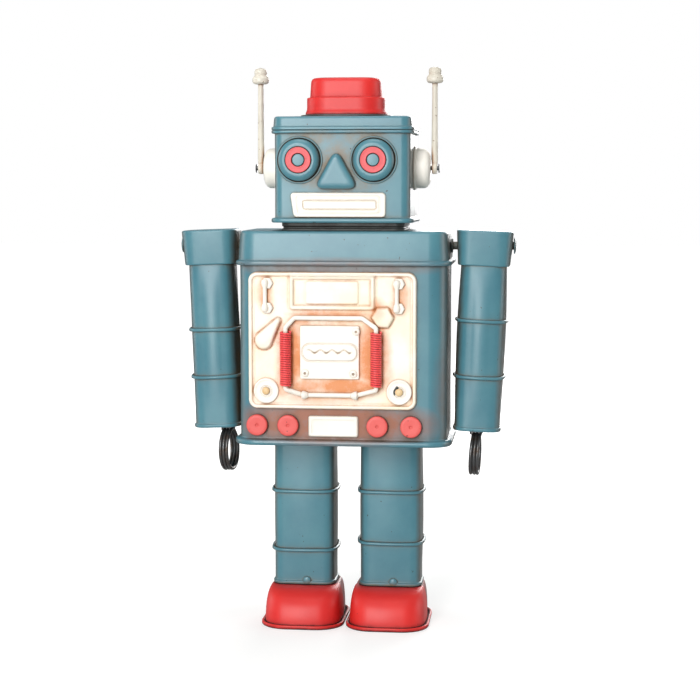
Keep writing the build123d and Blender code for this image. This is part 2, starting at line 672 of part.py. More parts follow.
def crown_wheel():
    """Face-toothed wheel that turns the crankshaft."""
    wheel = rod_y(0, motor_z, web_front, web_back, crown_r + peg_depth)
    for step in range(4):
        spot = Rot(0, 45 + 90 * step, 0) * Pos(9.6, 0, 0)
        wheel -= Pos(0, 0, motor_z) * spot * rod_y(0, 0, web_front, web_back, 2.6)
    for tooth in range(crown_teeth):
        near, far = crown_r - peg_depth / 2, crown_r + peg_depth / 2
        peg = block(near, far, peg_tip, web_front, -peg_w / 2, peg_w / 2)
        turn = 360 / crown_teeth * (tooth + 0.5)
        wheel += Pos(0, 0, motor_z) * Rot(0, turn, 0) * peg
    wheel += rod_y(0, motor_z + click_z, web_back, ratchet_y + ratchet_t + 0.3, 0.8)
    wheel += rod_y(0, motor_z, web_front - 1.2, web_front, arbor_r + 2)
    return wheel - rod_y(0, motor_z, web_front - 2, web_back, arbor_r + run_gap)


def winding_arbor():
    """Stepped arbor that carries ratchet, mainspring and key."""
    arbor = rod_y(0, motor_z, arbor_front, arbor_front + frame_t + 0.3, pivot_r)
    return arbor + rod_y(0, motor_z, arbor_front + frame_t + 0.3, back + 12, arbor_r)


def ratchet_wheel():
    """Saw-toothed wheel, fast on the arbor."""
    points = []
    for tooth in range(ratchet_teeth):
        angle = 2 * pi * tooth / ratchet_teeth
        points.append((ratchet_r * sin(angle), ratchet_r * cos(angle)))
        points.append((ratchet_root * sin(angle + 0.06), ratchet_root * cos(angle + 0.06)))
    outline = Pos(0, motor_z) * make_face(Polyline(*points, close=True))
    wheel = raised(outline, ratchet_y + ratchet_t, ratchet_t)
    return wheel - rod_y(0, motor_z, ratchet_y, ratchet_y + ratchet_t, arbor_r)


def click():
    """Pawl on the crown wheel that drops behind a ratchet tooth."""
    tip_x, tip_z = ratchet_r * sin(0.16), ratchet_r * cos(0.16)
    body = [(-1.7, click_z + 0.6), (1.7, click_z + 0.6), (tip_x + 0.9, tip_z + 0.9),
            (tip_x - 0.1, tip_z - 0.35), (-1.7, click_z - 0.6)]
    outline = Pos(0, motor_z) * make_face(Polyline(*body, close=True))
    pawl = raised(outline, ratchet_y + ratchet_t, ratchet_t)
    pawl += rod_y(0, motor_z + click_z, ratchet_y, ratchet_y + ratchet_t, 1.8)
    return pawl - rod_y(0, motor_z + click_z, ratchet_y, ratchet_y + ratchet_t, 0.8 + run_gap)


def crankshaft():
    """Shaft with a lantern pinion in the middle and a crank at each end."""
    shaft = rod_x(shaft_y, motor_z, -crank_x, crank_x, shaft_r)
    half = peg_depth / 2 + 2.2
    for x in (crown_r - half, crown_r + half):
        shaft += rod_x(shaft_y, motor_z, x - 0.4, x + 0.4, pinion_r + pinion_pin_r + 0.3)
    for pin in range(pinion_pins):
        angle = 2 * pi * pin / pinion_pins
        y, z = shaft_y + pinion_r * cos(angle), motor_z + pinion_r * sin(angle)
        shaft += rod_x(y, z, crown_r - half, crown_r + half, pinion_pin_r)
    for side in sides.values():
        shaft += rod_x(shaft_y, motor_z, side * crank_x, side * (crank_x + crank_disc_t), crank_disc_r)
        shaft += rod_x(shaft_y, motor_z + side * crank_throw, side * (crank_x + crank_disc_t - 0.2),
                       side * (lever_x + lever_t + 0.8), crank_pin_r)
    return shaft


def hip_shaft():
    reach = leg_x + leg_w / 2 + 1.0
    return rod_x(leg_y, hip_z, -reach, reach, hip_r)


def winding_key():
    """Butterfly key on the arbor's outer end."""
    start, end = back + 1.5, back + key_reach
    key = rod_y(0, motor_z, start, start + 12, arbor_r + 1.8)
    centre = end - key_wing_r
    for side in sides.values():
        low, high = motor_z - key_wing_t / 2, motor_z + key_wing_t / 2
        wing = rod_z(side * key_wing_r, centre, low, high, key_wing_r)
        key += wing - rod_z(side * key_wing_r * 1.15, centre, low, high, 1.8)
    key += block(-4.0, 4.0, start + 11, end - 4, motor_z - key_wing_t / 2, motor_z + key_wing_t / 2)
    return key - rod_y(0, motor_z, start, back + 12, arbor_r)


# ---------------------------------------------------------------- write every sub-part
single = [torso_shell, torso_lid, torso_base, chest_panel, chest_dials, chest_switches, chest_springs,
          chest_pipes, centre_plate, plate_screws, chest_buttons, label_plate, neck_collar, head_shell,
          head_lid, beacon_seat, beacon_lens, eye_rings, nose, mouth_plate, antenna_pins, shoulder_pins,
          motor_frame, mainspring, crown_wheel, winding_arbor, ratchet_wheel, click, crankshaft, hip_shaft,
          winding_key]
for make in single:
    save(make.__name__, make())

for name, side in sides.items():
    save(f"eye_{name}", eye(face_x + side * eye_spacing / 2))
    save(f"ear_{name}", ear(side))
    save(f"antenna_{name}", antenna(side))
    save(f"arm_tube_{name}", arm_tube(side))
    save(f"arm_bands_{name}", arm_bands(side, name))
    save(f"shoulder_cap_{name}", shoulder_cap(side))
    save(f"hand_coil_{name}", hand_coil(side, name))
    save(f"leg_tube_{name}", leg_tube(side))
    save(f"leg_bands_{name}", leg_bands(side, name))
    save(f"leg_lever_{name}", leg_lever(side))
    save(f"toe_cap_{name}", shoe_half(side, True))
    save(f"heel_shell_{name}", shoe_half(side, False))
    save(f"sole_{name}", sole(side))

print(len(written), "sub-parts; body_y", round(body_y, 3), "arm_x", round(arm_x, 3),
      "head_top", round(head_top, 2))
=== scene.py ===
# %% [markdown]
# # A tin wind-up robot
# The real toy is pressed tinplate: folded boxes and drawn cups with rolled edges, stove-enamelled
# and then rubbed with a brown wash that stays in the recesses. The moving parts, their sizes and
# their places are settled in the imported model, so this file loads it as a fixed frame and spends
# its effort on what a press shop and a paint shop would add: soft pressed edges, rolled rims, real
# wire, and worn enamel.

# %% Load the frame and the tools
import json
from collections import namedtuple
from math import cos, pi, radians, sin

import bmesh
import bpy
import numpy as np
from mathutils import Matrix, Vector, noise

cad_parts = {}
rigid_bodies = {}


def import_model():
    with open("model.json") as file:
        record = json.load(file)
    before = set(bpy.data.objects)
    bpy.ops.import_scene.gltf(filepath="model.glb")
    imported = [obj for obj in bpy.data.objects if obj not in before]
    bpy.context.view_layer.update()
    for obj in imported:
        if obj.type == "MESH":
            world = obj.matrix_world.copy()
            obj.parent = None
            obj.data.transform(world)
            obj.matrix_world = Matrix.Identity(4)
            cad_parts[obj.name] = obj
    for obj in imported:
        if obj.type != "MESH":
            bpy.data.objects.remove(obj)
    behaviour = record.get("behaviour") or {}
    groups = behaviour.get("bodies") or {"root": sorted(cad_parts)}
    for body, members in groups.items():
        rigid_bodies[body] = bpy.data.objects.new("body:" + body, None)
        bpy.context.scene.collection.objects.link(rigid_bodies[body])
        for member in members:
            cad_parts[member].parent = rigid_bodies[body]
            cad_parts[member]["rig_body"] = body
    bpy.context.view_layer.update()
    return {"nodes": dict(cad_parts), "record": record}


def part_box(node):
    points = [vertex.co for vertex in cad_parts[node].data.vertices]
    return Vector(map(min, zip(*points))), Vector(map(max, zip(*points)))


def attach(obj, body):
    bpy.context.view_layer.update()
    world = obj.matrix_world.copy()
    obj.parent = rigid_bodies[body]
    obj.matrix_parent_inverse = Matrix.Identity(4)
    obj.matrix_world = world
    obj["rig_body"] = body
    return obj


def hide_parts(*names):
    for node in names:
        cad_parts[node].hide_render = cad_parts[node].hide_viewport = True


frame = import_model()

nodes = frame["nodes"]
sides = {"right": -1, "left": 1}
forward = (0, -1, 0)
slot_of_node = {entry["node"]: entry["material_slot"] for entry in frame["record"]["subparts"]}
Box = namedtuple("Box", "low high mid size")
print(len(nodes), "packed pieces")


def mm(value):
    """Millimetres to Blender's metres."""
    return value / 1000


def box(*names):
    """Low corner, high corner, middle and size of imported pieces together, in millimetres."""
    boxes = [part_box(name) for name in names]
    low = Vector([1000 * min(each[0][axis] for each in boxes) for axis in range(3)])
    high = Vector([1000 * max(each[1][axis] for each in boxes) for axis in range(3)])
    return Box(low, high, (low + high) / 2, high - low)


# %% [markdown]
# ## Colour and nodes
# Colours are picked as sRGB hex values, as a paint shop would name them, and turned linear once.
# Two helpers add shader nodes and set their sockets: a value that is itself a socket becomes a
# link, and any other value is a setting.

# %% Colour and node helpers
def linear(code):
    """An sRGB hex value such as '5e8c9c' as the linear colour that shaders work in."""
    parts = [int(code[i:i + 2], 16) / 255 for i in (0, 2, 4)]
    return [p / 12.92 if p <= 0.04045 else ((p + 0.055) / 1.055) ** 2.4 for p in parts] + [1.0]


def per_mm(size):
    """Texture scale whose pattern repeats about every `size` millimetres."""
    return 1000 / size


def plug(tree, node, inputs):
    """Sets or links a node's sockets."""
    for socket, value in inputs.items():
        if isinstance(value, bpy.types.NodeSocket):
            tree.links.new(value, node.inputs[socket])
        else:
            node.inputs[socket].default_value = value


def add(tree, kind, inputs=None, **settings):
    """Adds one shader node, with its properties and its sockets."""
    node = tree.nodes.new("ShaderNode" + kind)
    for name, value in settings.items():
        setattr(node, name, value)
    plug(tree, node, inputs or {})
    return node


def new_material(name):
    """An empty material with a Principled shader wired to its output."""
    material = bpy.data.materials.new(name)
    material.use_nodes = True
    tree = material.node_tree
    tree.nodes.clear()
    shader = add(tree, "BsdfPrincipled")
    add(tree, "OutputMaterial", {"Surface": shader.outputs["BSDF"]})
    return material, tree, shader


def blend(tree, amount, first, second):
    """Mixes two colours, each a hex code or a socket."""
    first, second = [linear(c) if isinstance(c, str) else c for c in (first, second)]
    return add(tree, "Mix", {0: amount, 6: first, 7: second}, data_type="RGBA").outputs[2]


def remap(tree, value, low, high, to_low=0.0, to_high=1.0):
    """Stretches a value from low..high to to_low..to_high, held at both ends."""
    return add(tree, "MapRange", {0: value, 1: low, 2: high, 3: to_low, 4: to_high}).outputs[0]


def maths(tree, operation, a, b=0.0):
    """Arithmetic on two values, held between 0 and 1."""
    return add(tree, "Math", {0: a, 1: b}, operation=operation, use_clamp=True).outputs[0]


def blotches(tree, place, size, detail, roughness=0.5):
    """Soft noise, as a value near 0.5, whose blotches are about `size` millimetres wide."""
    return add(tree, "TexNoise", {"Vector": place, "Scale": per_mm(size), "Detail": detail,
                                  "Roughness": roughness}).outputs["Fac"]


def openness(tree, reach):
    """1 where nothing else is within `reach` millimetres, and less the deeper a recess is."""
    return add(tree, "AmbientOcclusion", {"Distance": mm(reach)}, samples=8).outputs["AO"]


def bumps(tree, height, strength, depth):
    """A surface roughened by `height`, `depth` millimetres deep."""
    return add(tree, "Bump", {"Strength": strength, "Distance": mm(depth), "Height": height}).outputs["Normal"]


# %% [markdown]
# ## Stove enamel on tinplate
# The body colour is sprayed and baked, which leaves a satin skin with a faint orange peel over
# metal that was never quite flat. Age then works on it. The colour goes cloudy over a few
# centimetres. A brown wash was brushed on and wiped off: it stays in broad smears and collects
# where fingers and cloth can't reach. The side faces are painted a dull brown-grey, a painted
# reflection. Along every seam and groove the colour goes nearly black, for wash dried there and
# for painted shade. Pin-sized chips show the dark metal. Each is one layer below, with its scale
# in real millimetres.

# %% Brushed-on patches of wash
def smears(tree, place, patches):
    """Soft ellipsoids of wash, each (centre, half size, strength) in millimetres, as one mask."""
    total = 0.0
    for centre, half_size, strength in patches:
        away = add(tree, "VectorMath", {0: place, 1: [mm(c) for c in centre]}, operation="SUBTRACT")
        away = add(tree, "VectorMath", {0: away.outputs[0], 1: [mm(s) for s in half_size]}, operation="DIVIDE")
        far = add(tree, "VectorMath", {0: away.outputs[0]}, operation="LENGTH").outputs["Value"]
        total = maths(tree, "MAXIMUM", total, remap(tree, far, 1.0, 0.45, 0.0, strength))
    return total


# %% Stove enamel
# line is the near-black of seams and grooves. It stands for dried wash and for painted shade.
def stove_enamel(name, coat, cloud, grime, roughness=0.38, gloss=0.15, reach=5.0, dirt=0.85, rub_size=7,
                 patches=(), smear=None, evenness=0.45, side_reflection_colour=None, line="232d2c", seam_shade_depth=1.0,
                 chips="2b2d2c", chip_level=0.74):
    """Baked enamel with clouds, smears, a painted reflection on the side faces, grime in the recesses, seams darkened
    by grime and painted shade, chips and orange peel.
    """
    material, tree, shader = new_material(name)
    spot = add(tree, "TexCoord").outputs
    place = spot["Object"]
    clouds = blotches(tree, place, 26, 5.0, 0.62)
    rub = blotches(tree, place, rub_size, 6.0, 0.7)
    colour = blend(tree, remap(tree, clouds, 0.38, 0.66), coat, cloud)
    if patches:
        smeared = maths(tree, "MULTIPLY", smears(tree, place, patches), remap(tree, rub, 0.34, 0.6, evenness, 1.2))
        colour = blend(tree, smeared, colour, smear or grime)
    # faces turned along ±x are painted a dull brown-grey: a painted reflection on the side faces
    if side_reflection_colour:
        facing = add(tree, "SeparateXYZ", {0: spot["Normal"]}).outputs["X"]
        side_reflection_mask = remap(tree, maths(tree, "ABSOLUTE", facing), 0.55, 0.97)
        side_reflection_mask = maths(tree, "MULTIPLY", side_reflection_mask, remap(tree, rub, 0.3, 0.65, 0.6, 1.0))
        colour = blend(tree, side_reflection_mask, colour, side_reflection_colour)
    # grime where the cloth can't reach, broken up by a blotchy rub
    crevice = remap(tree, openness(tree, reach), 0.93, 0.45)
    dirty = maths(tree, "MULTIPLY", crevice, remap(tree, rub, 0.3, 0.62, 0.35, dirt * 1.25))
    colour = blend(tree, dirty, colour, grime)
    # nearly black within 1.5 mm of a seam or groove: wash dried there, and painted shade in the narrow gap
    seam = remap(tree, openness(tree, 1.5), 0.72, 0.40, 0.0, seam_shade_depth)
    colour = blend(tree, seam, colour, line)
    specks = blotches(tree, place, 2.2, 2.0)
    colour = blend(tree, remap(tree, specks, chip_level, chip_level + 0.02), colour, chips)
    orange_peel = blotches(tree, place, 1.4, 3.0)
    plug(tree, shader, {
        "Base Color": colour, "Roughness": remap(tree, dirty, 0.0, 1.0, roughness, roughness + 0.35),
        "Coat Weight": gloss, "Coat Roughness": 0.3, "IOR": 1.5, "Normal": bumps(tree, orange_peel, 0.15, 0.05)})
    return material


# %% [markdown]
# ### Where the wash stayed
# The smears are placed where the hand with the rag missed: under the lid's bead, along the strip
# below the chest plate, round the eyes, and behind the springs.

# %% Places on the front
torso = box("torso_shell")
chest = box("chest_panel")
head = box("head_shell")
eyes = box("eye_right", "eye_left")
front_y = torso.low.y + 3.0                       # the torso's front wall, inside its rolled rim
face_y = head.low.y + 2.0                         # the head's front wall, likewise


def on_chest(across, up, out=0.0):
    """A place in front of the torso's front wall, measured from the chest plate's middle."""
    return (chest.mid.x + across, front_y - out, chest.mid.z + up)


def on_face(across, up):
    """A place on the head's front wall, measured from the middle between the eyes."""
    return (eyes.mid.x + across, face_y, eyes.mid.z + up)


# %% Smears of wash
torso_smears = [
    ((chest.mid.x, front_y, chest.low.z - 8), (70, 8, 15), 1.0),
    ((chest.mid.x, front_y, chest.high.z + 2.6), (70, 8, 6.0), 0.4),
    ((56, front_y + 20, torso.low.z + 30), (10, 30, 40), 0.3),
]
head_smears = [
    (on_face(0, -2), (12, 6, 16), 0.7), (on_face(-12, 12), (15, 6, 6), 0.55), (on_face(14, 12), (15, 6, 6), 0.55),
    (on_face(-13, -12), (9, 6, 5), 0.5), (on_face(14, -13), (10, 6, 5), 0.5),
]
chest_smears = [
    (on_chest(-21.5, -8), (7.5, 8, 22), 1.0), (on_chest(20.5, -9), (9, 8, 22), 1.0),
    (on_chest(8, -24.5), (24, 8, 6), 1.0), (on_chest(-14, -24.5), (14, 8, 5), 0.7),
    (on_chest(28, -8), (6, 8, 18), 0.5), (on_chest(-8, -31.5), (30, 8, 3), 0.35),
    (on_chest(0, 14.6), (28, 8, 2.6), 0.7), (on_chest(-18, 11), (7, 8, 4), 0.6),
    (on_chest(-37, 25), (6, 8, 10), 0.45), (on_chest(38.5, 24), (5, 8, 12), 0.6),
    (on_chest(25, 17), (6, 8, 8), 0.5), (on_chest(29, -18), (6, 8, 10), 0.35),
    (on_chest(-27, -27), (6, 8, 6), 0.5),
]
print(len(torso_smears + head_smears + chest_smears), "smears of wash")

# %% [markdown]
# ### The paint shop's colours
# Teal for the body, antique white for the trim, signal red for lamp and shoes, a chalkier red for
# the buttons. Each finish is its coat, the colour that clouds it and the grime in its recesses.

# %% Mix the enamels
# the teal's side faces get 4f4d45, a dull brown-grey painted reflection
teal = {"side_reflection_colour": "4f4d45"}
cream = {"roughness": 0.45, "chips": "8a6f52", "chip_level": 0.77}
red = {"roughness": 0.5, "gloss": 0.1, "reach": 4.0, "line": "2e0f0e", "chips": "6d1715", "chip_level": 0.78}
teal_enamel = stove_enamel("stove_enamel_teal", "467a88", "508490", "75644d", **teal)
teal_torso = stove_enamel("stove_enamel_teal_torso", "467a88", "508490", "50483a", **teal,
                          patches=torso_smears, smear="98593c", evenness=0.8)
teal_head = stove_enamel("stove_enamel_teal_head", "467a88", "508490", "75644d", **teal,
                         patches=head_smears, rub_size=5)
cream_enamel = stove_enamel("stove_enamel_antique_white", "f0ebe0", "f8f4ea", "b58a5c", **cream,
                            reach=1.6, dirt=0.5, line="6b5237", seam_shade_depth=0.4)
cream_chest = stove_enamel("stove_enamel_antique_white_chest", "f6f2e8", "f5ead0", "c98048", **cream,
                           patches=chest_smears, smear="dd8c50", evenness=0.8, rub_size=5,
                           line="7a5230", seam_shade_depth=0.7)
red_enamel = stove_enamel("stove_enamel_signal_red", "d4211f", "de2b26", "541410", **red)
red_heel = stove_enamel("stove_enamel_red_rubbed", "b04a48", "8f5a55", "4a1a16", **red)
coral_enamel = stove_enamel("stove_enamel_faded_red", "dd544f", "e4605a", "7c2a26", roughness=0.55, reach=3.0,
                            line="5a2422", chips="9a3734", chip_level=0.72)
# tarnished tin, darkened further: on the collar it is also painted shade under the head, and in one dial's gap painted
# shadow
dark_tin = stove_enamel("tarnished_tin_and_painted_shade", "323a39", "434c4a", "1d1712", roughness=0.4)
silver_paint = stove_enamel("silver_bronze_paint_aged", "cfc8b8", "ded8ca", "9a6a3e", roughness=0.5, reach=4.0,
                            line="4a3a28", chips="7a5a3c", chip_level=0.72)
wire_red = stove_enamel("enamelled_spring_wire", "f0464a", "f55a58", "8a1a1e", roughness=0.4, reach=1.0,
                        line="8a1a1e", seam_shade_depth=0.5)
washer_red = stove_enamel("stove_enamel_washer_red", "cf3f45", "d84c50", "5a1a1c", roughness=0.5, reach=1.5,
                          line="3a1214")
rivet_lacquer = stove_enamel("lacquered_rivet_heads", "d9b07a", "e6cb9c", "7a5228", roughness=0.4, reach=1.5,
                             line="4a3018")


# %% [markdown]
# ## Bare metals
# The clockwork, the wire claws and the key are not enamelled. Iron wire is blackened and slightly
# rusty, steel is zinc plated or oiled, and the wheels are stamped brass. They are metals, so their
# colour is their reflection, and all the variety is in how rough and how tarnished they are.

# %% Bare metals
def bare_metal(name, bright, tarnish, roughness, metallic=1.0):
    """Metal with a film of tarnish in blotches 6 mm wide, and fine scratches."""
    material, tree, shader = new_material(name)
    place = add(tree, "TexCoord").outputs["Object"]
    film = remap(tree, blotches(tree, place, 6.0, 6.0, 0.7), 0.47, 0.65)
    scratches = blotches(tree, place, 0.9, 4.0)
    plug(tree, shader, {
        "Base Color": blend(tree, film, bright, tarnish),
        "Roughness": remap(tree, film, 0.0, 1.0, roughness, roughness + 0.25),
        "Metallic": metallic, "Normal": bumps(tree, scratches, 0.2, 0.06)})
    return material


iron_wire = bare_metal("blackened_iron_wire", "5c5d5e", "55463a", 0.34, metallic=0.8)
zinc_steel = bare_metal("zinc_plated_steel", "b9bbb9", "8c8a82", 0.32)
oiled_steel = bare_metal("oiled_spring_steel", "7d8084", "4c463e", 0.28)
stamped_brass = bare_metal("stamped_brass", "c8a050", "7d6030", 0.3)
print(len(bpy.data.materials), "finishes")

finish_of_slot = {
    "teal_tin": teal_enamel, "cream_tin": cream_enamel, "red_tin": red_enamel, "coral_tin": coral_enamel,
    "spring_red": wire_red, "dark_tin": dark_tin, "dark_iron": iron_wire, "silver_tin": silver_paint,
    "zinc_steel": zinc_steel, "spring_steel": oiled_steel, "brass": stamped_brass,
}


# %% [markdown]
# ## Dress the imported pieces
# The clockwork inside is already the right shape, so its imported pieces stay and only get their
# finish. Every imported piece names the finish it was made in, so one loop dresses them all.

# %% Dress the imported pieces
for name, piece in nodes.items():
    piece.data.materials.clear()
    piece.data.materials.append(finish_of_slot[slot_of_node[name]])
print("dressed", len(slot_of_node), "packed pieces")


# %% [markdown]
# ## A press, a lathe and a wire bender
# Nearly everything on this toy was made in one of three ways. A pressing or a folded box has one
# section carried round a rounded rectangle, a spun cup or a turned knob has one section carried
# round an axis, and wire is a circle carried along a path. So three small functions make almost
# all the pieces. Each gives a closed skin of points in millimetres and faces, and corners are
# rounded where they are drawn, because no pressed edge is sharp.

# %% Rounded sections and skins
def rounded(points, steps=4, loop=False):
    """A section or a path whose corners are rounded by the last number of each point."""
    corners = [(Vector(point[:-1]), point[-1]) for point in points]
    path = []
    for index, (here, radius) in enumerate(corners):
        if radius == 0 or (not loop and index in (0, len(corners) - 1)):
            path.append(here)
            continue
        back, ahead = corners[index - 1][0] - here, corners[(index + 1) % len(corners)][0] - here
        cut = min(radius, back.length * 0.49, ahead.length * 0.49)
        start, end = here + back.normalized() * cut, here + ahead.normalized() * cut
        for step in range(steps + 1):
            t = step / steps
            path.append(start * (1 - t) ** 2 + here * 2 * t * (1 - t) + end * t ** 2)
    return path


def skin(rings, loop=False):
    """Faces between neighbouring rings of points. The first and last ring are closed with a lid."""
    count = len(rings[0])
    faces = []
    for ring in range(len(rings) if loop else len(rings) - 1):
        here, there = ring * count, (ring + 1) % len(rings) * count
        faces += [(here + i, here + (i + 1) % count, there + (i + 1) % count, there + i) for i in range(count)]
    if not loop:
        faces += [tuple(reversed(range(count))), tuple(range((len(rings) - 1) * count, len(rings) * count))]
    return [Vector(point) for ring in rings for point in ring], faces


# %% The press
def outline(width, depth, corner, swell=0.0, corner_steps=6, side_steps=8):
    """A rounded rectangle seen from above, whose sides swell out by `swell` at their middle."""
    across, along = width / 2 - corner, depth / 2 - corner
    centres = [(across, along), (-across, along), (-across, -along), (across, -along)]
    points = []
    for quarter, centre in enumerate(centres):
        start = quarter * pi / 2
        for step in range(corner_steps + 1):
            angle = start + pi / 2 * step / corner_steps
            points.append(Vector(centre) + corner * Vector((cos(angle), sin(angle))))
        out = Vector((cos(start + pi / 2), sin(start + pi / 2)))
        begin, end = Vector(centre) + corner * out, Vector(centres[(quarter + 1) % 4]) + corner * out
        for step in range(1, side_steps):
            t = step / side_steps
            points.append(begin.lerp(end, t) + out * swell * 4 * t * (1 - t))
    return points


def divided(section, run=7.0):
    """Divides long runs of a section, and says how freely the sheet can swell at each point."""
    levels = []
    for here, there in zip(section, section[1:]):
        pieces = max(1, round(abs(there[1] - here[1]) / run))
        for step in range(pieces):
            t = step / pieces
            levels.append((*here.lerp(there, t), sin(pi * t) if pieces > 1 else 0.0))
    return levels + [(*section[-1], 0.0)]


def pressing(width, depth, corner, section, at=(0, 0, 0), crown=0.0):
    """A section of (outset, height, rounding) points carried round a rounded rectangle.

    The rectangle's middle is `at`, and its walls swell out by up to `crown` where a run is long.
    """
    rings = []
    for outset, z, swell in divided(rounded(section)):
        shape = outline(width + 2 * outset, depth + 2 * outset, max(corner + outset, 0.4), crown * swell)
        rings.append([(at[0] + x, at[1] + y, at[2] + z) for x, y in shape])
    return skin(rings)


# %% The lathe
def lathe(section, at, facing=forward, steps=56, loop=False):
    """A section of (radius, height, rounding) points carried round an axis."""
    turn = Vector(facing).to_track_quat("Z", "Y").to_matrix()
    rings = []
    for radius, height in rounded(section, loop=loop):
        rings.append([Vector(at) + turn @ Vector((radius * cos(2 * pi * i / steps),
                                                  radius * sin(2 * pi * i / steps), height))
                      for i in range(steps)])
    return skin(rings, loop)


# %% The wire bender
def wire(path, radius, loop=False, around=12):
    """A round wire along a path. The radius is one number, or one for each point."""
    path = [Vector(point) for point in path]
    radii = radius if isinstance(radius, list) else [radius] * len(path)
    rings, normal = [], None
    for index, here in enumerate(path):
        ahead = path[(index + 1) % len(path)] if loop or index < len(path) - 1 else here
        behind = path[index - 1] if loop or index > 0 else here
        along = (ahead - behind).normalized()
        normal = along.orthogonal() if normal is None else normal
        normal = (normal - along * normal.dot(along)).normalized()
        across = along.cross(normal)
        rings.append([here + (normal * cos(2 * pi * i / around) + across * sin(2 * pi * i / around)) * radii[index]
                      for i in range(around)])
    return skin(rings, loop)


# %% From skins to a piece of the robot
def make(name, skins, node, finish=None, waver=0.0):
    """One piece from closed skins in millimetres. It rides and is finished as the node it stands for."""
    points, faces = [], []
    for skin_points, skin_faces in skins:
        faces += [[index + len(points) for index in face] for face in skin_faces]
        points += skin_points
    mesh = bpy.data.meshes.new(name)
    mesh.from_pydata([point / 1000 for point in points], [], faces)
    shape = bmesh.new()
    shape.from_mesh(mesh)
    bmesh.ops.remove_doubles(shape, verts=shape.verts, dist=mm(0.002))
    bmesh.ops.recalc_face_normals(shape, faces=shape.faces)
    if waver:                     # hand-fed sheet is never quite flat: shallow dents about 20 mm wide
        shape.normal_update()
        for vertex in shape.verts:
            vertex.co += vertex.normal * mm(waver) * noise.noise(vertex.co * per_mm(20))
    for face in shape.faces:
        face.smooth = True
    shape.to_mesh(mesh)
    shape.free()
    mesh.set_sharp_from_angle(angle=radians(50))
    mesh.materials.append(finish or finish_of_slot[slot_of_node[node]])
    piece = bpy.data.objects.new(name, mesh)
    bpy.context.collection.objects.link(piece)
    piece.modifiers.new("even_shading", "WEIGHTED_NORMAL").keep_sharp = True
    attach(piece, nodes[node]["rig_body"])
    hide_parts(node)


# %% [markdown]
# ## The torso
# A folded can with a rolled lower rim, and a drawn lid pushed over its top, with a bead at the
# lid's mouth. Both could be cubes with bevels, but the rims and the bead follow the corners, so
# they belong to one section that is carried round. The walls swell by a fraction of a millimetre,
# which is what makes the light run across real tin in a soft gradient. The heights in a section
# are counted from the piece's own foot.

# %% Torso can
tin = 0.8                                       # sheet thickness
rim = 3.0                                       # how far the rolled rim stands out
torso_corner, top = 10.0, torso.size.z
make("torso_can", [pressing(torso.size.x - 2 * rim, torso.size.y - 2 * rim, torso_corner, [
    (-8, top - 1, 0), (0, top, 0.3), (0, 3.4, 0.9), (rim, 3.1, 1.5), (rim, 0, 1.5), (-tin, 0, 0.4),
    (-tin, 1.4, 0.2), (-tin, top - 3, 0.2), (-8, top - 3, 0)],
    (0, torso.mid.y, torso.low.z), crown=0.45)], "torso_shell", teal_torso, waver=0.16)

# %% Torso lid
lid = box("torso_lid")
bead, top = 1.5, lid.size.z
make("torso_lid_drawn", [pressing(lid.size.x - 2 * bead, lid.size.y - 2 * bead, torso_corner + tin, [
    (-8, 4.2, 0), (-tin, 4.2, 0.3), (-tin, 0, 0.3), (bead, 0, 1.1), (bead, 2.4, 1.1), (0, 2.6, 0.7),
    (-1.1, top, 2.2), (-9, top, 0), (-22, top, 0)],
    (0, lid.mid.y, lid.low.z), crown=0.35)], "torso_lid", teal_torso, waver=0.12)
print("torso", [round(v, 1) for v in torso.size], "mm")


# %% [markdown]
# ## The head
# The head is a smaller box made the same way, with a closed bottom and a double bead under its lid.
# The collar below it is tarnished tin, darkened further as painted shade under the head, and the red lamp on top is
# two drawn tiers.

# %% Head box and lid
head_corner, rim, top = 5.0, 2.0, head.size.z
make("head_box", [pressing(head.size.x - 2 * rim, head.size.y - 2 * rim, head_corner, [
    (-18, 0, 0), (-4, 0, 0), (rim, 0, 1.1), (rim, 2.4, 1.1), (0, 2.6, 0.6), (0, top, 0.2), (-10, top, 0)],
    (0, head.mid.y, head.low.z), crown=0.3)], "head_shell", teal_head, waver=0.12)

hat = box("head_lid")
bead, top = 1.0, hat.size.z
make("head_lid_drawn", [pressing(hat.size.x - 2 * bead, hat.size.y - 2 * bead, head_corner + tin, [
    (-10, 3, 0), (-tin, 3, 0.2), (-tin, 0, 0.2), (bead, 0, 0.8), (bead, 1.6, 0.8), (0.1, 1.75, 0.2),
    (bead, 1.9, 0.8), (bead, 3.4, 0.8), (0, 3.6, 0.5), (-0.5, top, 1.6), (-8, top, 0), (-20, top, 0)],
    (0, hat.mid.y, hat.low.z), crown=0.25)], "head_lid", teal_head, waver=0.1)

# %% Collar
collar = box("neck_collar")
# the collar's dark finish is tarnish and painted shade from the head above it
make("collar_band", [pressing(collar.size.x, collar.size.y, head_corner, [
    (-12, 0, 0), (0, 0, 0.3), (0, 1.0, 0.3), (-0.8, 1.4, 0.3), (-0.8, 2.0, 0.3), (0, 2.5, 0.6),
    (0, collar.size.z, 0.3), (-12, collar.size.z, 0)], (0, collar.mid.y, collar.low.z))], "neck_collar")

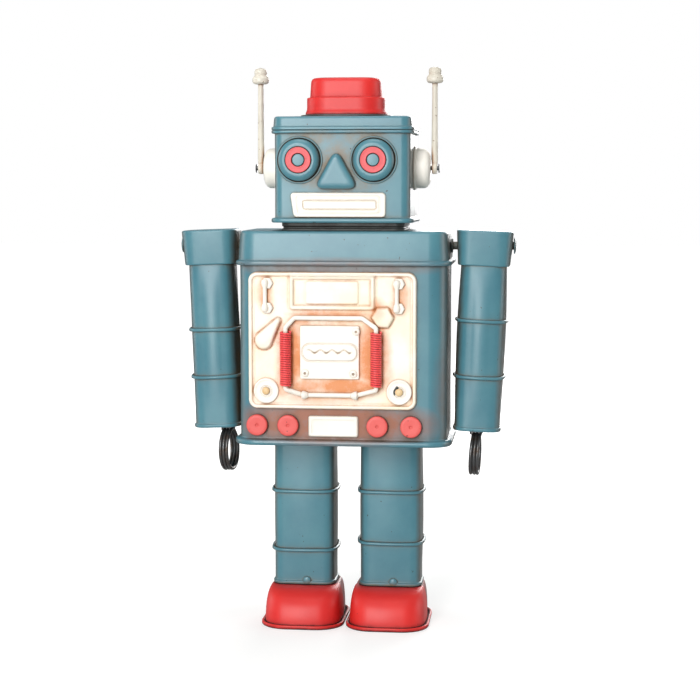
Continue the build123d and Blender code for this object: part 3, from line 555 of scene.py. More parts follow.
# %% Warning lamp
lamp = box("beacon_lens")
tier, top = 9.4, lamp.size.z
make("warning_lamp", [pressing(lamp.size.x, lamp.size.y, 13.0, [
    (-9, 0, 0), (-0.1, 0, 0.3), (-0.1, 1.2, 0.5), (-0.9, 3.0, 1.0), (-0.9, tier, 2.0), (-2.6, tier + 0.1, 0.7),
    (-3.3, top, 3.6), (-9, top, 0), (-12.5, top, 0)],
    (0, lamp.mid.y, lamp.low.z), crown=0.6)], "beacon_lens", waver=0.08)
seat = box("beacon_seat")
make("lamp_seat", [pressing(seat.size.x, seat.size.y, seat.size.x * 0.32, [
    (-8, 0, 0), (0, 0, 0.3), (0, seat.size.z, 0.8), (-8, seat.size.z, 0)],
    (0, seat.mid.y, seat.low.z))], "beacon_seat")
print("head", [round(v, 1) for v in head.size], "mm, lamp", [round(v, 1) for v in lamp.size], "mm")


# %% [markdown]
# ## The face
# An eye is a spun cup with a thin flange at the face, a round shoulder and a sunken floor round a
# raised pupil. A red washer lies in the sunken floor. The nose is a rounded triangle pressed out of
# one blank, drawn as nested outlines that shrink as they rise.

# %% Eyes
washers = []
for hand in sides:
    eye = box(f"eye_{hand}")
    r, out = eye.size.x / 2, eye.size.y
    section = [(0, 0, 0), (r + 1.3, 0, 0.2), (r + 1.3, 0.9, 0.5), (r + 0.5, 1.0, 0.4), (r - 0.3, 0.2, 0.2),
               (r - 0.2, out - 2.0, 0.8), (r - 1.6, out - 0.5, 1.4), (8.6, out, 0.8), (7.3, out - 0.1, 0.15),
               (7.15, out - 0.7, 0.1), (3.35, out - 0.7, 0.1), (3.2, out + 0.1, 0.3), (0, out + 0.3, 0)]
    make(f"eye_cup_{hand}", [lathe(section, (eye.mid.x, eye.high.y, eye.mid.z))], f"eye_{hand}")
    washers.append(lathe([(3.6, -0.5, 0), (6.9, -0.5, 0), (6.9, 0.5, 0.4), (5.2, 0.35, 0), (3.6, 0.5, 0.4)],
                         (eye.mid.x, box("eye_rings").high.y, eye.mid.z), loop=True))
make("eye_washers", washers, "eye_rings", washer_red)

# %% Nose
nose = box("nose")


def nose_outline(shrink):
    """Rounded triangle, narrow at the top, `shrink` millimetres inside the nose's edge."""
    half, low, high = nose.size.x / 2, nose.low.z, nose.high.z
    corners = [(-half - 0.5, low, 6.0), (half + 0.5, low, 6.0), (0, high + 3.6, 7.5)]
    middle = Vector((0, low + 0.36 * (high - low)))
    path = rounded(corners, steps=7, loop=True)
    wide = half / max(point[0] for point in path)
    path = [Vector((point[0] * wide, point[1])) for point in path]
    return [point + (middle - point).normalized() * shrink for point in path]


nose_rings = [[(nose.mid.x + x, nose.high.y - height, z) for x, z in nose_outline(shrink)]
              for shrink, height in rounded([(0, 0, 0), (0, 2.4, 0.8), (1.5, 3.9, 1.4), (4, 4.2, 1.0), (6, 4.2, 0)])]
make("nose_pressing", [skin(nose_rings)], "nose")
print("eyes", round(eyes.size.x, 1), "mm over both; nose", [round(v, 1) for v in nose.size])


# %% [markdown]
# ## Pressed relief
# The chest plate, its centre plate, the mouth and the label are thin sheets with shallow pressed
# shapes. Modelled one by one, their edges would look machined. A press forms them all at once, so
# here a fine grid is laid over the plate's outline and its height is worked out at each point from
# distances: a rim is a bump in the distance from the edge, a boss is a dome, a groove is a dip.

# %% Distances and bumps
def rectangle(x, z, width, height, corner, at=(0.0, 0.0)):
    """Distance inside a rounded rectangle: positive inside, negative outside."""
    qx, qz = np.abs(x - at[0]) - width / 2 + corner, np.abs(z - at[1]) - height / 2 + corner
    outside = np.hypot(np.maximum(qx, 0), np.maximum(qz, 0))
    return corner - outside - np.minimum(np.maximum(qx, qz), 0)


def rise(distance, width):
    """0 outside, 1 inside, with a soft step `width` millimetres wide at the edge."""
    t = np.clip(distance / width + 0.5, 0, 1)
    return t * t * (3 - 2 * t)


def dome(distance, width):
    """A quarter-round shoulder `width` millimetres wide, flat inside it."""
    return np.sqrt(1 - (1 - np.clip(distance / width, 0, 1)) ** 2)


def bead_bump(distance, centre, half_width):
    """A half-round bead along a line of equal distance."""
    return np.sqrt(np.clip(1 - ((distance - centre) / half_width) ** 2, 0, 1))


# %% The relief press
def relief(sheet, corner, step, face, sink, proud, shear=None):
    """A sheet over a packed box's outline, raised by proud(x, z) in front of `face` and sunk behind it."""
    width, height = sheet.size.x, sheet.size.z
    columns, rows = round(width / step), round(height / step)
    x, z = np.meshgrid(np.linspace(-width / 2, width / 2, columns + 1),
                       np.linspace(-height / 2, height / 2, rows + 1))
    # corners of the grid are drawn in to the round corners of the sheet
    over_x = np.maximum(np.abs(x) - width / 2 + corner, 0)
    over_z = np.maximum(np.abs(z) - height / 2 + corner, 0)
    reach = np.hypot(over_x, over_z)
    pull = np.where(reach > 0, np.maximum(over_x, over_z) / np.maximum(reach, 1e-9), 1.0)
    x, z = x - np.sign(x) * over_x * (1 - pull), z - np.sign(z) * over_z * (1 - pull)
    out = proud(x, z)
    if shear:
        x = shear(x, z)
    points = [Vector((sheet.mid.x + a, face - b, sheet.mid.z + c)) for a, b, c in zip(x.flat, out.flat, z.flat)]
    wide = columns + 1
    faces = [(row * wide + col, row * wide + col + 1, (row + 1) * wide + col + 1, (row + 1) * wide + col)
             for row in range(rows) for col in range(columns)]
    edge = ([col for col in range(wide)] + [row * wide + columns for row in range(1, rows + 1)]
            + [rows * wide + col for col in range(columns - 1, -1, -1)]
            + [row * wide for row in range(rows - 1, 0, -1)])
    start = len(points)
    points += [Vector((points[i][0], face + sink, points[i][2])) for i in edge]
    count = len(edge)
    faces += [(edge[i], edge[(i + 1) % count], start + (i + 1) % count, start + i) for i in range(count)]
    faces.append(tuple(range(start, start + count)))
    return points, faces


# %% [markdown]
# ## The chest plate
# One antique-white sheet with a beaded rim. Pressed into it are the window's frame and pane, a
# hexagonal boss and a teardrop paddle.

# %% Chest plate
floor = 1.2                                         # the sheet's floor in front of the torso
chest_corner = 5.0
window_at, window_w, window_h = (0.0, 26.3), 46.6, 18.9
boss_at, boss_across = (27.65, 12.8), 10.8
paddle = ((-37.25, 0.1, 5.0), (-29.6, 10.7, 1.7))   # across, up, radius at each end


def chest_height(x, z):
    """How far the chest plate stands out, in millimetres."""
    edge = rectangle(x, z, chest.size.x, chest.size.z, chest_corner)
    height = floor * (0.25 + 0.75 * dome(edge, 0.5)) + 0.9 * bead_bump(edge, 1.25, 1.2)
    height -= 0.25 * bead_bump(edge, 3.0, 0.7)
    window = rectangle(x, z, window_w, window_h, 2.0, window_at)
    height += 0.35 * rise(window, 0.8) + 0.85 * bead_bump(window, 1.1, 1.1)
    height -= 0.3 * bead_bump(window, 2.6, 0.5)
    pane = rectangle(x, z, 28.6, 11.9, 1.3, window_at)
    height += 0.4 * rise(pane, 0.9) - 0.22 * bead_bump(pane, -0.6, 0.45)
    height -= 0.3 * bead_bump(window, -0.7, 0.6)
    flats = [np.abs((x - boss_at[0]) * cos(a) + (z - boss_at[1]) * sin(a)) for a in (pi / 2, pi / 6, 5 * pi / 6)]
    boss = boss_across / 2 - np.maximum.reduce(flats)
    height += 1.9 * dome(boss, 0.9) + 0.5 * dome(boss, 4.5) - 0.3 * bead_bump(boss, -0.4, 0.4)
    (ax, az, ar), (bx, bz, br) = paddle
    along = np.clip(((x - ax) * (bx - ax) + (z - az) * (bz - az)) / ((bx - ax) ** 2 + (bz - az) ** 2), 0, 1)
    blade = ar + (br - ar) * along - np.hypot(x - ax - (bx - ax) * along, z - az - (bz - az) * along)
    height += 1.9 * dome(blade, 1.3) + 0.9 * dome(blade, 4.0) - 0.3 * bead_bump(blade, -0.4, 0.4)
    return height


make("chest_plate", [relief(chest, chest_corner, 0.42, front_y, 1.0, chest_height)], "chest_panel", cream_chest)

# %% Centre plate
centre = box("centre_plate")
centre_thick = 1.9
wave_length, wave_height, wave_half_width = 6.4, 0.85, 0.42


def centre_height(x, z):
    """A flat sheet with a raised lozenge, and a wavy slot that fades out at both ends."""
    edge = rectangle(x, z, centre.size.x, centre.size.z, 1.0)
    height = centre_thick * (0.3 + 0.7 * dome(edge, 0.45))
    lozenge = rectangle(x, z, 29.4, 8.4, 4.1, (0.2, 0.0))
    height += 0.55 * rise(lozenge, 0.7) - 0.5 * bead_bump(lozenge, -0.6, 0.5)
    wave = 0.6 + wave_height * np.sin(2 * pi * x / wave_length)
    fade = np.clip((13.0 - np.abs(x)) / 2, 0, 1)
    deep = 0.55 + 0.45 * np.clip(-np.sin(2 * pi * x / wave_length), 0, 1)
    return height - 1.2 * deep * fade * np.exp(-((z - wave) / wave_half_width) ** 2)


make("centre_plate_pressed", [relief(centre, 1.0, 0.3, front_y - floor, 0.6, centre_height)], "centre_plate",
     cream_enamel)

# %% Plate screws
screw_at = ((13.35, 5.3), (-14.55, -17.5), (11.85, -17.7))     # the fourth has gone
screw_section = [(0, -0.3, 0), (2.1, -0.3, 0), (2.1, 0.35, 0.3), (1.5, 0.9, 0.5), (0.75, 1.05, 0.15),
                 (0.65, -0.1, 0.1), (0, -0.2, 0)]
make("plate_screw_heads", [lathe(screw_section, on_chest(across, up, floor + centre_thick), steps=32)
                           for across, up in screw_at], "plate_screws")

# %% Corner dials
dial_at, dial_up, dial_r = (-36.15, 36.65), -27.5, 6.9
dial_section = [(0, -0.4, 0), (dial_r, -0.4, 0), (dial_r, 0.8, 0.3), (dial_r - 0.5, 1.5, 0.6),
                (dial_r - 1.5, 1.0, 0.5), (3.7, 1.0, 0.3), (3.3, 1.35, 0.3), (2.9, 1.0, 0.3), (2.3, 1.0, 0.2),
                (0, 0.9, 0)]
stud_section = [(0, 0.2, 0), (2.1, 0.2, 0), (2.1, 2.1, 0.6), (1.2, 2.6, 0.6), (0, 2.7, 0)]
make("corner_dials", [lathe(dial_section, on_chest(across, dial_up, floor)) for across in dial_at], "chest_dials")
make("dial_studs", [lathe(stud_section, on_chest(across, dial_up, floor), steps=40) for across in dial_at],
     "chest_dials", rivet_lacquer)
slit_r = 2.8                                        # one dial's stud sits askew in its hole
# the gap it leaves is drawn as a dark tapered wire: painted shadow in the hole
gap_shadow = [on_chest(dial_at[1] + slit_r * cos(a), dial_up + slit_r * sin(a), floor + 0.95)
        for a in np.linspace(radians(98), radians(215), 14)]
make("dial_gap_shadow", [wire(gap_shadow, [0.3, 0.85, 0.9, 0.75] + [0.5] * 8 + [0.4, 0.2])], "chest_dials", dark_tin)

# %% Toggle switches
switch_at, switch_up = (-35.45, 36.35), (17.8, 31.2)
bar_end = ((-2.1, 0.9), (-1.5, 1.75), (0, 1.95), (1.4, 1.65), (2.4, 1.2), (4, 1.1))     # up from a nut, radius
nut = [(0, -0.3, 0), (3.3, -0.3, 0), (3.3, 1.4, 0.5), (2.6, 1.8, 0.4), (0, 1.8, 0)]
low, high = switch_up
bar = [(low + up, r) for up, r in bar_end] + [(high - up, r) for up, r in reversed(bar_end)]
switches = []
for across in switch_at:
    switches.append(wire([on_chest(across - 1.1, up, floor + 1.7) for up, _ in bar], [r for _, r in bar], around=16))
    switches += [lathe(nut, on_chest(across, up, floor), steps=6) for up in switch_up]
make("toggle_bars", switches, "chest_switches")

# %% Coil springs
spring_at, spring_low, spring_high, spring_r = (-25.05, 24.3), -24.7, 5.7, 3.2
spring_turns, spring_wire, spring_out = 24, 0.62, floor + 0.2 + spring_r
coil_r, coil_tall = spring_r - spring_wire, spring_high - spring_low - 2 * spring_wire
springs = []
for across in spring_at:
    coil = []
    for turned in np.linspace(0, spring_turns, spring_turns * 20 + 1):
        angle, up = 2 * pi * turned, spring_low + spring_wire + coil_tall * turned / spring_turns
        coil.append(on_chest(across + coil_r * cos(angle), up, spring_out + coil_r * sin(angle)))
    springs.append(wire(coil, spring_wire, around=10))
make("coil_springs", springs, "chest_springs")

# %% Pipes
pipe_r, pipe_low = 1.25, -29.5
pipe_low_bends = (-15.5, 13.1)
left, right = spring_at
pipes = []
for pipe_up, spring_end, turn, bends in ((12.5, spring_high, 1.6, (-20.5, 16.6)),
                                         (pipe_low, spring_low, -1.6, pipe_low_bends)):
    inside, above, sheet_out = spring_end - turn * 0.8, spring_end + turn, floor + pipe_r
    stops = [(left, inside, spring_out, 0), (left, above, spring_out, 0.8), (bends[0], pipe_up, sheet_out, 1.0),
             (bends[1], pipe_up, sheet_out, 1.0), (right, above, spring_out, 0.8), (right, inside, spring_out, 0)]
    route = [(*on_chest(across, up, out), bend) for across, up, out, bend in stops]
    pipes.append(wire(rounded(route, steps=6), pipe_r, around=16))
ferrule = [(0, -1.9, 0), (1.3, -1.9, 0), (1.7, -1.2, 0.3), (2.3, 0.2, 0.5), (2.3, 1.2, 0.4), (1.3, 1.8, 0.2),
           (0, 1.8, 0)]
for across, out in zip(pipe_low_bends, (-1, 1)):
    pipes.append(lathe(ferrule, on_chest(across - out * 0.6, pipe_low, floor + pipe_r + 0.6), (out, 0, 0), 24))
make("bent_pipes", pipes, "chest_pipes")

# %% Buttons and label
button_r, button_up = 5.8, -46.5
button_section = [(0, -0.5, 0), (button_r, -0.5, 0), (button_r, 2.9, 0.9), (button_r - 1.6, 3.05, 0.5),
                  (1.0, 2.95, 0.3), (0.6, 2.6, 0.3), (0, 2.55, 0)]
button_at = (-41.35, -24.25, 24.65, 43.05)
make("push_buttons", [lathe(button_section, on_chest(across, button_up)) for across in button_at], "chest_buttons")
label = box("label_plate")


def label_height(x, z):
    """A blank sheet with a beaded edge."""
    edge = rectangle(x, z, label.size.x, label.size.z, 1.2)
    return 1.2 * (0.3 + 0.7 * dome(edge, 0.7)) + 0.35 * bead_bump(edge, 1.3, 0.9)


make("label_blank", [relief(label, 1.2, 0.35, front_y, 0.5, label_height)], "label_plate")

# %% Mouth
mouth = box("mouth_plate")


def mouth_height(x, z):
    """A sheet with two engraved frames, one inside the other."""
    edge = rectangle(x, z, mouth.size.x, mouth.size.z, 2.2)
    inner = rectangle(x, z, mouth.size.x - 6.5, mouth.size.z - 4.0, 1.4)
    bar = rectangle(x, z, mouth.size.x - 12, mouth.size.z - 9.2, 0.8, (0.8, 0.0))
    return (1.5 * (0.3 + 0.7 * dome(edge, 0.8)) - 0.4 * bead_bump(inner, 0.0, 0.5)
            - 0.6 * bead_bump(bar, -0.3, 0.45) + 0.1 * rise(bar, 0.8))


def mouth_cut(x, z):
    """The blank was cut askew: its lower left corner lies 2 mm inside."""
    down = np.clip(0.5 - z / mouth.size.z, 0, 1)
    return x + 2.0 * down * np.clip(0.5 - x / mouth.size.x, 0, 1) ** 3


make("mouth_plate_pressed", [relief(mouth, 2.2, 0.35, face_y, 0.5, mouth_height, mouth_cut)], "mouth_plate")
print("chest", [round(v, 1) for v in chest.size], "mm, mouth", [round(v, 1) for v in mouth.size], "mm")


# %% [markdown]
# ## Ears and aerials
# Each ear is a drawn cup with a flange, and its aerial hangs on a rivet through it: a tapered rod
# with a flattened eye at the foot and a turned knob on top. The knob's skirt is wider than its
# crown, with a groove between them.

# %% Ears
for hand, side in sides.items():
    ear = box(f"ear_{hand}")
    r, length = ear.size.z / 2 - 0.9, ear.size.x
    base_x = ear.low.x if side > 0 else ear.high.x
    section = [(0, 0, 0), (r + 0.9, 0, 0.3), (r + 0.9, 1.2, 0.5), (r, 1.5, 0.5), (r - 0.1, length - 2.0, 2.2),
               (r - 3.4, length, 2.4), (2.2, length, 0.3), (0, length, 0)]
    make(f"ear_cup_{hand}", [lathe(section, (base_x, ear.mid.y, ear.mid.z), (side, 0, 0))], f"ear_{hand}")

# %% Aerials
knob_tall = 9.0
for hand, side in sides.items():
    aerial = box(f"antenna_{hand}")
    foot = Vector((aerial.mid.x, aerial.mid.y, aerial.low.z + 3.3))
    tall = aerial.high.z - knob_tall - foot.z
    rod_path = [foot + Vector((0, 0, up)) for up in (1.5, 5, tall - 8, tall + 1)]
    rod = wire(rod_path, [1.5, 1.85, 1.55, 1.55], around=20)
    knob = lathe([(0, 0, 0), (3.4, 0, 0.3), (4.6, 0.9, 0.6), (4.65, 3.2, 0.9), (3.7, 4.4, 0.6), (3.3, 4.8, 0.4),
                  (3.6, 6.2, 0.8), (3.2, 8.2, 1.4), (0, knob_tall, 0)], foot + Vector((0, 0, tall)), (0, 0, 1), 40)
    eye = lathe([(1.25, -1.4, 0), (3.0, -1.4, 0.4), (3.3, 0, 0.8), (3.0, 1.4, 0.4), (1.25, 1.4, 0)], foot,
                (1, 0, 0), 32, loop=True)
    make(f"aerial_{hand}", [rod, knob, eye], f"antenna_{hand}")

# %% Aerial rivets
pins = box("antenna_pins")
rivets = []
for hand, side in sides.items():
    ear = box(f"ear_{hand}")
    start = ear.high.x if side > 0 else ear.low.x
    length = abs((pins.high.x if side > 0 else pins.low.x) - start)
    rivets.append(lathe([(0, 0, 0), (1.2, 0, 0), (1.2, length - 0.9, 0), (2.6, length - 0.9, 0.2),
                         (2.4, length - 0.2, 0.5), (0, length, 0)], (start, pins.mid.y, pins.mid.z), (side, 0, 0), 28))
make("aerial_rivets", rivets, "antenna_pins")
print("two ears and two aerials")


# %% [markdown]
# ## Arms
# An arm is a folded tube that leans in by two degrees, so it is pressed upright and then tipped
# about the shoulder pin. Two wire bands are soldered round it, never quite level, and a deep cup
# that flares towards its top covers the shoulder.

# %% Tipping the arms
pins = box("shoulder_pins")
arm_lean = 2.1                                  # degrees
lean_drop = 0.6                                 # a leaning tube's box reaches this far below its foot
arm_w, arm_d, arm_corner = 25.0, 24.4, 7.0
arm_x = box("shoulder_cap_left").mid.x
limb_y = torso.mid.y


def tipped(shape, side):
    """Tips a skin about the shoulder pin, its lower end inwards."""
    points, faces = shape
    pin = Vector((side * arm_x, 0, pins.mid.z))
    turn = Matrix.Rotation(radians(side * arm_lean), 3, "Y")
    return [turn @ (point - pin) + pin for point in points], faces


def slack_band(width, depth, corner, at, slope, seed):
    """A wire band round a limb, higher at the back and a little loose at its corners."""
    path = []
    for px, py in outline(width + 1.6, depth + 1.6, corner + 0.8, 0.6, corner_steps=5, side_steps=6):
        loose = 0.25 * noise.noise(Vector((px * 0.06, py * 0.06, seed)))
        path.append((at[0] + px * (1 + loose * 0.01), at[1] + py, at[2] + slope * py / depth + loose))
    return wire(path, 0.95, loop=True)


# %% Arm tubes and bands
band_inset = 1.68                               # from the end of the tipped bands' box to a band's middle
for hand, side in sides.items():
    foot_z = box(f"arm_tube_{hand}").low.z + lean_drop
    top = box(f"shoulder_cap_{hand}").low.z + 4 - foot_z
    tube = pressing(arm_w, arm_d, arm_corner, [
        (-6, 0.8, 0), (-1.2, 0.8, 0.2), (-1.0, 0, 0.3), (0.8, 0, 0.9), (0.8, 1.9, 0.9), (0, 2.1, 0.4),
        (0, top, 0), (-5, top, 0)], (side * arm_x, limb_y, foot_z), crown=1.1)
    make(f"arm_folded_{hand}", [tipped(tube, side)], f"arm_tube_{hand}", waver=0.14)
    span = box(f"arm_bands_{hand}")
    bands = [slack_band(arm_w, arm_d, arm_corner, (side * arm_x, limb_y, z), 0.8 - 0.5 * index, 3.1 * index + side)
             for index, z in enumerate((span.low.z + band_inset, span.high.z - band_inset))]
    make(f"arm_wires_{hand}", [tipped(band, side) for band in bands], f"arm_bands_{hand}")

# %% Shoulder cups
for hand, side in sides.items():
    cap = box(f"shoulder_cap_{hand}")
    top = cap.size.z
    cup = pressing(cap.size.x, cap.size.y, 7.5, [
        (-4, 0.6, 0), (-1.6, 0, 0.3), (-1.2, 0.6, 0.3), (0.0, top - 0.6, 1.2), (-0.9, top - 0.1, 0.6),
        (-6, top - 0.2, 0), (-11, top - 0.2, 0)], (side * arm_x, cap.mid.y, cap.low.z), crown=0.3)
    make(f"shoulder_cup_{hand}", [tipped(cup, side)], f"shoulder_cap_{hand}", waver=0.15)

# %% Shoulder rivets
rivets = []
root = lid.size.x / 2 - 3.4
length = pins.high.x - root
for side in sides.values():
    at = (side * root, pins.mid.y, pins.mid.z)
    rivets.append(lathe([(0, 0, 0), (2.2, 0, 0), (2.2, length - 1.2, 0), (4.5, length - 1.2, 0.3),
                         (4.4, length - 0.5, 0.4), (2.6, length, 0.6), (0, length, 0)], at, (side, 0, 0), 40))
    rivets.append(lathe([(2.0, 2.0, 0), (3.9, 2.0, 0.3), (3.9, 3.0, 0.3), (2.0, 3.0, 0)], at, (side, 0, 0), 40,
                        loop=True))
make("shoulder_rivets", rivets, "shoulder_pins")
print("two arms", round(arm_x, 1), "mm either side")


# %% [markdown]
# ## Claws
# A claw is three turns of blackened iron wire in a small folded clamp. It is real wire here, wound
# as a helix whose turns differ a little in size, because it was bent by hand round a peg. Each claw
# was also twisted and pushed inwards by its own amount.

# %% Wire claws
claw_twist = {"right": -8.0, "left": -4.0}        # degrees about the upright
claw_inset = {"right": 4.6, "left": 0.3}          # how far it hangs inside the arm's middle
claw_turns, claw_r, claw_wire, claw_pitch = 3, 11.8, 0.95, 1.85
claw_steps = 40                                   # points in one turn
for hand, side in sides.items():
    hang = Vector((side * (arm_x - claw_inset[hand]), limb_y, box(f"arm_tube_{hand}").low.z + lean_drop))
    turn = Matrix.Rotation(radians(claw_twist[hand]), 3, "Z")
    coil = []
    for step in range(claw_turns * claw_steps + 1):
        angle = 2 * pi * step / claw_steps
        across = claw_pitch * (step / claw_steps - claw_turns / 2)
        across += 0.2 * noise.noise(Vector((step * 0.02, side * 9.0, 2.5)))
        r = claw_r - 0.2 * (1 + noise.noise(Vector((step * 0.03, side * 4.0, 0.5))))
        coil.append(hang + turn @ Vector((across, r * sin(angle), r * cos(angle) - claw_r - claw_wire - 0.6)))
    points, faces = pressing(6.4, 6.2, 0.8, [(-2, -0.4, 0), (0, -0.4, 0.5), (0.3, -2.9, 0.6), (-2, -2.9, 0)])
    clamp = [hang + turn @ point for point in points], faces
    make(f"wire_claw_{hand}", [tipped(wire(coil, claw_wire), side), tipped(clamp, side)], f"hand_coil_{hand}")
print("claws of", round(claw_r, 1), "mm radius")


# %% [markdown]
# ## Legs and shoes
# A leg is a longer folded tube with two ears that hang on the hip shaft, a small tab that was bent
# out to hold the shoe, and two more wire bands. The shoe is two drawn shells, toe and heel, on a
# flat sole with a rolled lip. The toe is the one strongly curved form on the toy, so its rings
# follow a super-ellipse: full below, round at the shoulder, narrow at the ankle.

# %% Leg tubes
leg_w, leg_d, leg_corner = 34.0, 26.0, 6.0
hip = box("hip_shaft").mid
strap_half = 5.9
for hand, side in sides.items():
    leg = box(f"leg_tube_{hand}")
    x, y, ankle = leg.mid.x, hip.y, leg.low.z
    top = hip.z - 5.0 - ankle
    tube = pressing(leg_w, leg_d, leg_corner, [
        (-9, 0, 0), (0.9, 0, 0.9), (0.9, 2, 0.9), (0, 2.2, 0.4), (0, top, 0.2), (-tin, top, 0.2), (-tin, 1.2, 0.4),
        (-9, 1.2, 0)], (x, y, ankle), crown=1.0)
    tab = lathe([(0, 0, 0), (2.4, 0, 0), (2.4, 1.2, 0.7), (1.0, 1.7, 0.8), (0, 1.75, 0)],
                (x + 2.0, y - leg_d / 2 + 0.3, ankle + 2.4), steps=28)
    ears = []
    for ear_x in (x - leg_w / 2, x + leg_w / 2 - tin):
        ears.append(lathe([(1.6, 0, 0), (6.0, 0, 0.2), (6.0, tin, 0.2), (1.6, tin, 0)], (ear_x, y, hip.z),
                          (1, 0, 0), 40, loop=True))
        strap = [(ear_x, y - strap_half), (ear_x + tin, y - strap_half),
                 (ear_x + tin, y + strap_half), (ear_x, y + strap_half)]
        ears.append(skin([[(*p, z) for p in strap] for z in (ankle + top - 1, hip.z - 2.2)]))
    make(f"leg_folded_{hand}", [tube, tab] + ears, f"leg_tube_{hand}", waver=0.14)
    span = box(f"leg_bands_{hand}")
    bands = [slack_band(leg_w, leg_d, leg_corner, (x, y, z), 1.0 - 0.4 * index, 5.3 * index + side)
             for index, z in enumerate((span.low.z + 1, span.high.z - 1))]
    make(f"leg_wires_{hand}", bands, f"leg_bands_{hand}")

# %% Shoe shells
foot_w, foot_len, foot_corner = 42.4, 54.0, 13.0
ankle_w, ankle_len, ankle_corner = leg_w + 2.4, leg_d + 4, leg_corner + 1.4


def shoe_rings(x, foot_y, sole_z, ankle_z, grow):
    """Rings from the sole up to the ankle, full below and round at the shoulder."""
    rings = []
    for step in range(15):
        angle = pi / 2 * step / 14
        up, full = sin(angle) ** (2 / 2.5), cos(angle) ** (2 / 2.3)
        z = sole_z + (ankle_z - sole_z) * up
        width, length = ankle_w + (foot_w - ankle_w) * full, ankle_len + (foot_len - ankle_len) * full
        corner = ankle_corner + (foot_corner - ankle_corner) * full
        y = hip.y + (foot_y - hip.y) * full
        shape = outline(width + 2 * grow, length + 2 * grow, corner + grow, 0.5 * full, corner_steps=10,
                        side_steps=12)
        rings.append([(x + px, y + py, z + grow * (up - 1)) for px, py in shape])
    return rings


def half_shell(shape, seam_y, behind):
    """The part of a closed skin in front of the seam (behind = 1) or behind it (-1), closed along the cut."""
    points, faces = shape
    shell = bmesh.new()
    verts = [shell.verts.new(point) for point in points]
    for face in faces:
        shell.faces.new([verts[index] for index in face])
    whole = shell.verts[:] + shell.edges[:] + shell.faces[:]
    cut = bmesh.ops.bisect_plane(shell, geom=whole, plane_co=(0, seam_y, 0), plane_no=(0, behind, 0),
                                 clear_outer=True)["geom_cut"]
    bmesh.ops.edgeloop_fill(shell, edges=[item for item in cut if isinstance(item, bmesh.types.BMEdge)])
    shell.verts.index_update()
    kept = [vertex.co.copy() for vertex in shell.verts], [[v.index for v in face.verts] for face in shell.faces]
    shell.free()
    return kept


for hand in sides:
    toe, heel = box(f"toe_cap_{hand}"), box(f"heel_shell_{hand}")
    where = (toe.mid.x, (toe.low.y + heel.high.y) / 2, toe.low.z, toe.high.z)
    front = half_shell(skin(shoe_rings(*where, 0.0)), toe.high.y, 1)
    back = half_shell(skin(shoe_rings(*where, -0.5)), toe.high.y, -1)
    make(f"toe_shell_{hand}", [front], f"toe_cap_{hand}", waver=0.1)
    make(f"heel_shell_drawn_{hand}", [back], f"heel_shell_{hand}", red_heel, waver=0.1)

# %% Soles
for hand in sides:
    sole = box(f"sole_{hand}")
    make(f"sole_rolled_{hand}", [pressing(sole.size.x, sole.size.y, 15.1, [
        (-10, 0, 0), (0, 0, 1.1), (0, 2.3, 1.1), (-1.5, 2.3, 0.7), (-2.4, 1.1, 0.4), (-10, 1.1, 0)],
        (sole.mid.x, sole.mid.y, sole.low.z))], f"sole_{hand}")
print("shoes", [round(v, 1) for v in toe.size], "mm at the toe")


# %% [markdown]
# ## The key
# The winding key is stamped from 1.6 mm steel: a butterfly with a hole in each wing, on a tube that
# grips the arbor. A flat curve with holes fills itself and rounds its own edges, so the butterfly
# is drawn as one, and turned to a mesh at once so that the tube can join it.

# %% Winding key
key = box("winding_key")
wing_r, key_t, key_edge = 9.5, 1.6, 0.35
wing_y = key.high.y - wing_r


def key_blank():
    """The butterfly as a flat filled curve with rounded edges, returned as a skin in millimetres."""
    drawing = bpy.data.curves.new("key_blank", "CURVE")
    drawing.dimensions, drawing.fill_mode = "2D", "BOTH"
    drawing.extrude, drawing.bevel_depth, drawing.bevel_resolution = key_t / 2 - key_edge, key_edge, 2
    drawing.offset = -key_edge
    edge = []
    for side in (1, -1):
        for step in range(29):
            angle = radians(-128 + 256 * step / 28) + (0 if side > 0 else pi)
            edge.append((side * wing_r + wing_r * cos(angle), wing_r * sin(angle)))
        if side > 0:
            edge.append((4.0, wing_r * 0.42))        # the waist between the wings
    edge += [(-4.0, -wing_r * 0.9), (-3.6, -wing_r - 8), (3.6, -wing_r - 8), (4.0, -wing_r * 0.9)]
    holes = [[(side * wing_r * 1.15 + 1.8 * cos(2 * pi * i / 24), 1.8 * sin(2 * pi * i / 24)) for i in range(24)]
             for side in (1, -1)]
    for loop_points in [edge] + holes:
        line = drawing.splines.new("POLY")
        line.points.add(len(loop_points) - 1)
        for point, (px, py) in zip(line.points, loop_points):
            point.co = (px, py, 0, 1)
        line.use_cyclic_u = True
    holder = bpy.data.objects.new("key_blank", drawing)
    bpy.context.collection.objects.link(holder)
    bpy.context.view_layer.update()
    mesh = bpy.data.meshes.new_from_object(holder.evaluated_get(bpy.context.evaluated_depsgraph_get()))
    points = [Vector((v.co.x, wing_y + v.co.y, key.mid.z + v.co.z)) for v in mesh.vertices]
    faces = [list(polygon.vertices) for polygon in mesh.polygons]
    bpy.data.objects.remove(holder)
    bpy.data.curves.remove(drawing)
    bpy.data.meshes.remove(mesh)
    return points, faces


key_tube = lathe([(2.0, 0, 0), (3.8, 0, 0.4), (3.8, 11.2, 0.8), (3.0, 12.0, 0.5), (2.0, 12.0, 0)],
                 (0, key.low.y, key.mid.z), (0, 1, 0), 40, loop=True)
make("butterfly_key", [key_blank(), key_tube], "winding_key")
print("key", [round(v, 1) for v in key.size], "mm")


# %% [markdown]
# ## Studio
# A pale floor in an even white room. One tall soft light stands in front, a little to the left,
# with weaker ones at both sides, one behind and one overhead. The air of the room is dimmer for the
# surfaces than it looks behind them, as when dark cards stand beside a product to keep its edges
# from washing out. The floor looks bright too, brighter further off, and sends little of it back.

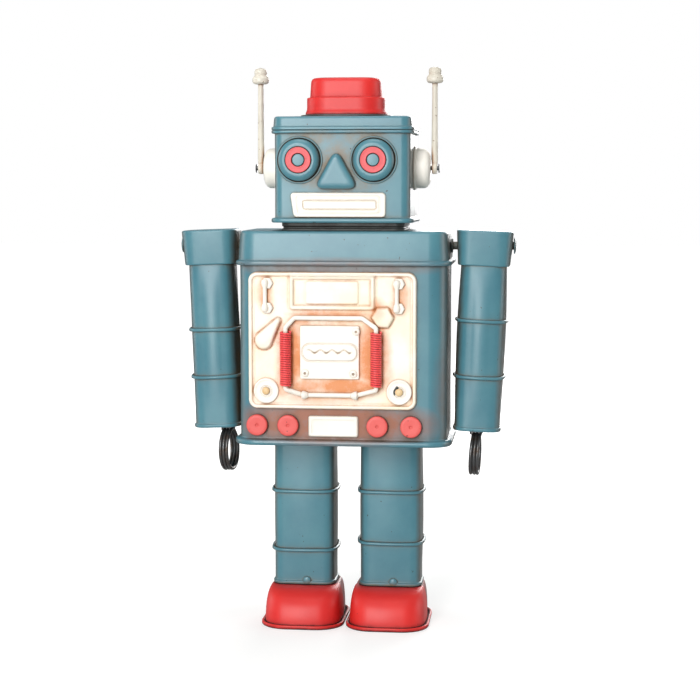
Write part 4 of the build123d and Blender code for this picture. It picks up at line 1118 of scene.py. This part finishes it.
# %% Studio floor
near_glow, far_glow, lit_glow = 0.58, 1.05, 0.04     # the paper at the robot, a metre off, and as it lights the robot
floor_half = 6.0
paper, tree, shader = new_material("studio_paper")
seen = add(tree, "LightPath").outputs["Is Camera Ray"]
place = add(tree, "TexCoord").outputs["Object"]
from_robot = add(tree, "VectorMath", {0: place}, operation="LENGTH").outputs["Value"]
glow = remap(tree, from_robot, 0.1, 1.0, near_glow, far_glow)
plug(tree, shader, {
    "Base Color": linear("b4b4b2"), "Roughness": 0.9, "Emission Color": linear("ffffff"),
    "Emission Strength": add(tree, "Mix", {0: seen, 2: lit_glow, 3: glow}).outputs[0]})
mesh = bpy.data.meshes.new("studio_floor")
mesh.from_pydata([(floor_half * a, floor_half * b, 0) for a, b in ((-1, -1), (1, -1), (1, 1), (-1, 1))], [],
                 [(0, 1, 2, 3)])
mesh.materials.append(paper)
studio_floor = bpy.data.objects.new("studio_floor", mesh)
bpy.context.collection.objects.link(studio_floor)


# %% Lights and air
def soft_light(name, place, size, power):
    """A soft light, `size` wide and tall in metres, that faces the robot's middle."""
    light = bpy.data.lights.new(name, "AREA")
    light.shape = "RECTANGLE"
    light.size, light.size_y = size
    light.energy = power
    holder = bpy.data.objects.new(name, light)
    holder.location = place
    aim = Vector((0, mm(torso.mid.y), mm(160))) - Vector(place)
    holder.rotation_euler = aim.to_track_quat("-Z", "Y").to_euler()
    bpy.context.collection.objects.link(holder)


soft_light("key_light", (-0.32, -1.42, 0.52), (0.5, 1.3), 25)
soft_light("side_light_left", (1.3, 0.2, 0.4), (0.6, 0.9), 5)
soft_light("side_light_right", (-1.3, 0.2, 0.4), (0.6, 0.9), 5)
soft_light("back_light", (0.3, 1.4, 0.6), (0.8, 0.8), 16)
soft_light("top_light", (0.0, -0.1, 1.4), (0.8, 0.8), 6)

seen_air, mirrored_air, lit_air = 1.0, 0.35, 0.06    # how bright the air looks, reflects and lights
world = bpy.data.worlds.new("studio_air")
bpy.context.scene.world = world
world.use_nodes = True
tree = world.node_tree
rays = add(tree, "LightPath").outputs
glow = remap(tree, rays["Is Glossy Ray"], 0.0, 1.0, lit_air, mirrored_air)
glow = add(tree, "Mix", {0: rays["Is Camera Ray"], 2: glow, 3: seen_air}).outputs[0]
plug(tree, tree.nodes["Background"], {"Color": linear("ffffff"), "Strength": glow})
print("studio lit by", len(bpy.data.lights), "lights")


# %% [markdown]
# ## Camera
# A long lens nearly a metre away, a little to the robot's left and level with its chin.

# %% Camera
camera_distance = 949.6         # millimetres from the torso's middle
camera_height = 245.7
camera_round = 0.1139           # where it stands, in radians from straight ahead towards the robot's left
camera_turn = 0.1124            # where it looks, likewise
camera_tilt = 0.0964            # radians down
lens = bpy.data.cameras.new("camera")
lens.sensor_width = 36.0
lens.lens = 87.5
lens.clip_end = 50.0
camera = bpy.data.objects.new("camera", lens)
camera.location = (mm(camera_distance * sin(camera_round)),
                   mm(torso.mid.y - camera_distance * cos(camera_round)), mm(camera_height))
camera.rotation_euler = (pi / 2 - camera_tilt, 0, camera_turn)
bpy.context.collection.objects.link(camera)
bpy.context.scene.camera = camera
bpy.context.scene.view_settings.view_transform = "Standard"
print("camera", [round(v, 3) for v in camera.location])
